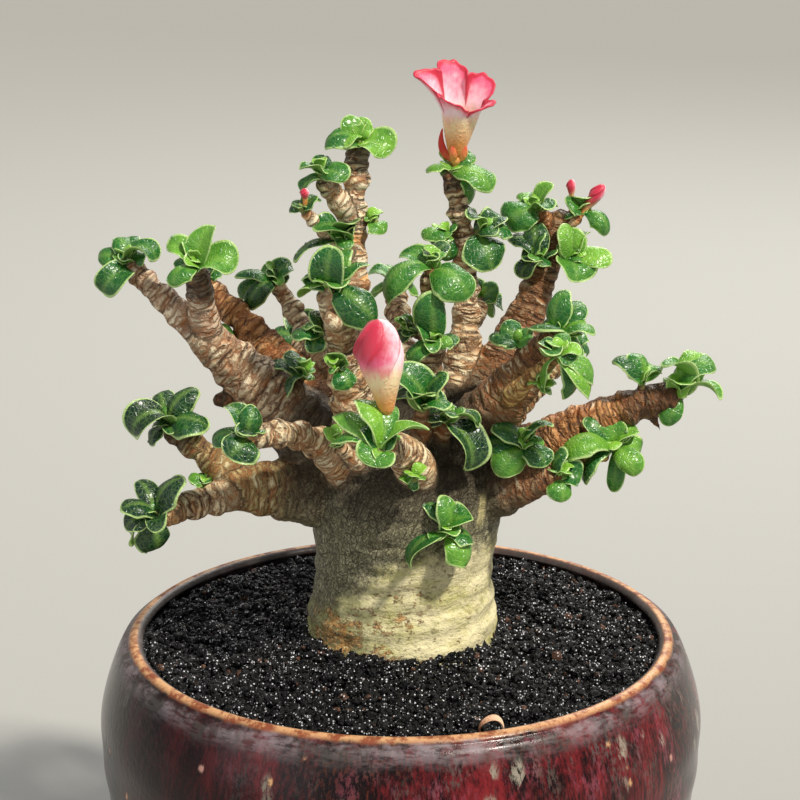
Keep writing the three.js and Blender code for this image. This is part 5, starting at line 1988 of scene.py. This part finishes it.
@dataclass
class Flower:
    """The open flower: a flared tube with five lobes, the calyx under it, and the sepals' sizes.

    A sepal's size is its length, and how far it leans out.
    """

    grown: dict[str, Spine]
    tube: float = 14.0
    foot: float = 1.9
    throat: float = 6.1
    lobes: int = 5
    heading: float = 180.0
    reach: tuple[float, float] = (12.0, 9.0)
    rise: float = 23.0
    tilt: float = 6.5
    high_side: float = 120.0
    lean: tuple[float, float] = (1.4, -0.6)
    thickness: float = 0.5
    long_sepal: tuple[float, float] = (8.6, 5.0)
    short_sepal: tuple[float, float] = (4.6, 3.3)
    sides: int = 150
    tube_rows: int = 22
    lobe_rows: int = 16
    petal: PetalFinish = field(default_factory=PetalFinish)
    sepal: DriedFinish = DriedFinish("red_sepal", tint("eaa45a"), tint("d8382c"), 0.45)

    def seat(self) -> Array:
        """Gives the foot of the tube."""
        return self.grown["tall_right"].at(1.0) + np.array([1.0, 0.0, 8.0])

    def corolla(self) -> Piece:
        """Makes the tube and its lobes as one skin with an inner and an outer wall.

        Returns:
            The piece.
        """
        turn = circle(self.sides)
        out = np.stack([np.cos(turn), np.sin(turn), 0 * turn], 1)
        from_first = turn - math.radians(self.heading)
        lobe = np.abs(np.cos(self.lobes / 2 * from_first)) ** 0.5
        high = np.cos(turn - math.radians(self.high_side))
        frill = 0.5 * np.sin(3 * self.lobes * turn + 1.0) + 0.35 * np.sin(23 * turn)
        pointed = np.exp(-(from_first / 0.2) ** 2)
        share = (0.62 + 0.46 * lobe + 0.025 * frill + 0.22 * pointed)[:, None]
        edge = share * np.array([*self.reach, 0.0]) * out + np.array([*self.lean, 0.0])
        edge[:, 2] = self.rise + self.tilt * high + 2.6 * (lobe - 0.7) + 0.5 * frill
        rows, values = [], []
        for i in range(self.tube_rows + self.lobe_rows + 1):
            share = min(i / self.tube_rows, 1.0)
            flare = max(0.0, (i - self.tube_rows) / self.lobe_rows)
            radius = self.foot + (self.throat - self.foot) * share ** 0.8
            radius += 0.16 * np.cos(self.lobes * turn) * share
            knots = math.sin(2 * math.pi * self.tube * share / 1.7) * (flare == 0)
            radius += 0.14 * np.cos(9 * turn) * knots
            centre = np.array([self.lean[0] * share, self.lean[1] * share, self.tube * share])
            line = centre + out * radius[:, None]
            flared = np.array([flare ** 1.35, flare ** 1.35, 1 - (1 - flare) ** 1.2])
            fold = (1 - lobe)[:, None] * UP * (-1.2 * math.sin(math.pi * flare)) * (flare > 0)
            rows.append(line + (edge - line) * flared + fold)
            along = np.full(self.sides, 0.5 * share + 0.5 * flare)
            rosy = 0.15 + 0.85 * flare ** 1.6 + 0 * turn
            notch = (1 - lobe) ** 1.3 * flare ** 0.5
            margin = ease(np.full(self.sides, flare), 0.74, 1.0)
            redness = np.clip(1.5 * notch + 0.95 * margin, 0, 1)
            values.append(np.stack([along, rosy, redness], 1))
        rows, values = np.array(rows), np.array(values)
        ahead = np.gradient(rows, axis=0)
        beside = np.roll(rows, -1, 1) - np.roll(rows, 1, 1)
        inward = unit(np.cross(ahead, beside))
        half = self.thickness / 2
        skins = np.concatenate([rows - half * inward, (rows + half * inward)[::-1]])
        stored = np.concatenate([values, values[::-1]])
        points = skins.reshape(-1, 3) + self.seat()
        form = Form()
        form.add(points, loop_faces(len(skins), self.sides), petal=stored.reshape(-1, 3))
        return form.piece("open_flower", self.petal.material(), "petal", ["flower_corolla"])

    def calyx(self) -> Piece:
        """Makes the short stalk, the small cup and its five narrow sepals, of which one is long.

        Returns:
            The piece.
        """
        form = Form()
        seat = self.seat()
        for low, high, width, swell in ((-6.5, -2.6, 1.2, 0.0), (-3.4, 0.2, 1.2, 0.8)):
            cup = Spine(np.array([seat + z * UP for z in (low, (low + high) / 2, high)]),
                        lambda t, w=width, s=swell: w + s * np.sin(math.pi * np.asarray(t)))
            points, faces, share = cup.skin(0.35, 24)
            form.add(points, faces, petal=np.stack([0.15 * share] * 3, 1))
        for i in range(self.lobes):
            first = i == 0
            length, outward = self.long_sepal if first else self.short_sepal
            out = direction(self.heading + 360 * i / self.lobes, 0)
            start, end = seat + 0.9 * out - 2.2 * UP, seat + outward * 0.9 * out + length * UP
            middle = seat + (outward + 1.2) * out + 0.15 * length * UP
            sepal = Spine(np.array([start, middle, end]),
                          lambda t: 0.2 + 1.1 * np.sin(math.pi * np.clip(t, 0, 1) ** 0.75) ** 0.9)
            points, faces, share = sepal.skin(0.35, 20, 0.45)
            redness = (0.45 if first else 0.1) + 0.6 * share
            form.add(points, faces, petal=np.stack([redness] * 3, 1))
        return form.piece("calyx_and_sepals", self.sepal.material(), "sepal", ["flower_calyx"])

    def build(self) -> list[Piece]:
        """Makes the flower."""
        return [self.corolla(), self.calyx()]


@dataclass(frozen=True)
class Bud:
    """A closed flower on a stalk: five petals that overlap and are wound in a spiral."""

    limb: str
    offset: tuple[float, float, float]
    heading: float
    climb: float
    stalk: float
    length: float
    width: float
    blush: float
    petals: int = 5
    columns: int = 12
    rings: int = 64
    turns: float = 0.45

    def build(self, name: str, grown: dict[str, Spine], material: Material) -> Piece:
        """Makes the bud.

        Args:
            name: The frame's node that the bud stands for.
            grown: The centre lines, by limb.
            material: Its finish.

        Returns:
            The piece.
        """
        seat = grown[self.limb].at(1.0) + np.array(self.offset)
        axis = direction(self.heading, self.climb)
        total = self.stalk + self.length
        narrow = min(1.2, self.width / 4)
        sides = self.petals * self.columns
        share = np.linspace(0, 1, self.rings)
        swollen = np.clip((share * total - self.stalk) / self.length, 0, 1)
        closed = np.sqrt(1 - np.clip((swollen - 0.62) / 0.38, 0, 1) ** 1.9)
        plump = self.width / 2 * (0.22 + 0.78 * ease(swollen, -0.1, 0.74)) * closed
        plump = plump * ease(swollen, -0.02, 0.1)
        radius = np.maximum(plump, narrow * (1 - ease(swollen, 0.9, 1.0)))
        line = Spine(np.array([seat, seat + axis * total / 2, seat + axis * total]), lambda t: t)
        across, lift = line.sides(share)
        petal = np.tile(np.arange(self.columns) / self.columns, self.petals)
        wound = petal[None] + 0 * swollen[:, None]
        turn = circle(sides)[None] + 2 * math.pi * self.turns * swollen[:, None]
        overlap = 0.26 * wound ** 0.8 - 0.14 + 0.1 * np.cos(turn - 2.9)
        around = radius[:, None] * (1 + ease(swollen, 0.3, 0.72)[:, None] * overlap)
        spread = across[:, None] * np.cos(turn)[..., None] + lift[:, None] * np.sin(turn)[..., None]
        rows = line.at(share)[:, None] + around[..., None] * spread
        poles = [rows[i].mean(0)[None] for i in (0, -1)]
        points = np.concatenate([poles[0], rows.reshape(-1, 3), poles[1]])
        # Painted light: one flank of the bud, the lit side, is pinker and redder.
        lit = 0.5 + 0.5 * np.cos(turn - 3.5)
        along = np.broadcast_to(0.95 * swollen[:, None], wound.shape)
        foot = 0.45 if self.width > 10 else 0.1
        flushed = self.blush * ease(swollen, foot, foot + 0.35)[:, None]
        redness = flushed * (0.3 + 0.7 * lit + 0.4 * (wound > 0.86))
        parts = [np.concatenate([[value.flat[0]], value.ravel(), [value.flat[-1]]])
                 for value in (along, lit, redness)]
        form = Form()
        form.add(points, tube_faces(self.rings, sides), petal=np.stack(parts, 1))
        return form.piece(f"closed_{name}", material, "petal", [name])


BUDS: dict[str, Bud] = {
    "front_bud": Bud("bud_limb", (1.5, 0.5, 2.5), 180, 85, 7.5, 32, 15, 0.9),
    "right_bud": Bud("right_upper_right", (0.6, -0.8, -0.3), 355, 53, 2.5, 12.5, 4.6, 1.0),
    "right_small_bud": Bud("right_upper_right", (-1.2, 1, 0.5), 90, 88, 5.5, 7, 3.2, 1.0),
    "left_tiny_bud": Bud("tall_left_twig", (-0.8, -0.3, 0), 270, 80, 4.5, 4.6, 3.2, 1.2),
}


# --- The studio ---


@dataclass
class Studio:
    """A pale floor that curves up behind, soft lights, and the camera."""

    target: tuple[float, float, float] = (-0.0003, 0.0, 0.2009)
    elevation: float = 16.9
    distance: float = 0.9
    lens: float = 123.1
    world_power: float = 0.36
    floor: PlainFinish = PlainFinish("pale_floor", tint("a3a29e"), 0.85)

    def camera(self) -> None:
        """Places the camera on the viewer's side, looking a little down."""
        data = bpy.data.cameras.new("view")
        data.lens = self.lens
        camera = placed("view", data)
        away = Vector(direction(-90, self.elevation)) * self.distance
        camera.location = Vector(self.target) + away
        camera.rotation_euler = (-away).to_track_quat("-Z", "Y").to_euler()
        bpy.context.scene.camera = camera

    def light(self, name: str, kind: str, place: tuple[float, float, float], size: float,
              power: float, colour: Rgb) -> None:
        """Hangs a light that faces the plant.

        Args:
            name: The light's name.
            kind: SUN for an even light, AREA for a square one.
            place: Where it hangs, in metres.
            size: Its width, in radians for a sun and in metres for a square.
            power: Its power, in watts, and for a sun on each square metre.
            colour: Its colour.
        """
        data = bpy.data.lights.new(name, kind)
        if kind == "SUN":
            data.angle = size
        else:
            data.size = size
        data.energy = power
        data.color = colour
        lamp = placed(name, data)
        lamp.location = place
        towards = Vector(self.target) - Vector(place)
        lamp.rotation_euler = towards.to_track_quat("-Z", "Y").to_euler()

    def backdrop(self) -> None:
        """Makes the floor, with a wide curve up behind it."""
        half, back, radius = 6.0, 3.2, 1.5
        turn = np.linspace(0, math.pi / 2, 24)
        curve = [(back + radius * math.sin(a), radius - radius * math.cos(a)) for a in turn]
        line = [(-9.0, 0.0), *curve, (back + radius, 5.0)]
        points = [(side * half, y, z) for y, z in line for side in (-1, 1)]
        faces = [(2 * i, 2 * i + 1, 2 * i + 3, 2 * i + 2) for i in range(len(line) - 1)]
        mesh = bpy.data.meshes.new("floor")
        mesh.from_pydata(points, [], faces)
        mesh.polygons.foreach_set("use_smooth", [True] * len(faces))
        mesh.materials.append(self.floor.material())
        placed("floor", mesh)

    def build(self) -> None:
        """Sets up the floor, the lights and the camera."""
        self.camera()
        self.backdrop()
        self.light("key", "SUN", (1.25, -1.05, 2.3), 0.1, 3.9, (1.0, 0.95, 0.86))
        self.light("fill", "AREA", (-1.1, -0.9, 0.7), 1.2, 4.0, (0.95, 0.98, 1.0))
        self.light("rim", "AREA", (0.35, 1.1, 1.0), 0.7, 10.0, (1.0, 0.99, 0.95))
        world = bpy.data.worlds.new("studio")
        world.use_nodes = True
        background = world.node_tree.nodes["Background"]
        background.inputs["Color"].default_value = (0.94, 0.97, 1.0, 1.0)
        background.inputs["Strength"].default_value = self.world_power
        bpy.context.scene.world = world
        bpy.context.scene.view_settings.view_transform = "Standard"


def main() -> None:
    """Builds each part in order and reports it."""
    logging.basicConfig(level=logging.INFO, format="%(name)s: %(message)s")
    Studio().build()
    Bowl().build()
    Soil().build()
    Fittings().build()
    wood = Wood()
    wood.build()
    Foliage(wood.grown).build()
    flower = Flower(wood.grown)
    flower.build()
    petal = flower.petal.material()
    for name, bud in BUDS.items():
        bud.build(name, wood.grown, petal)


if __name__ == "__main__":
    main()
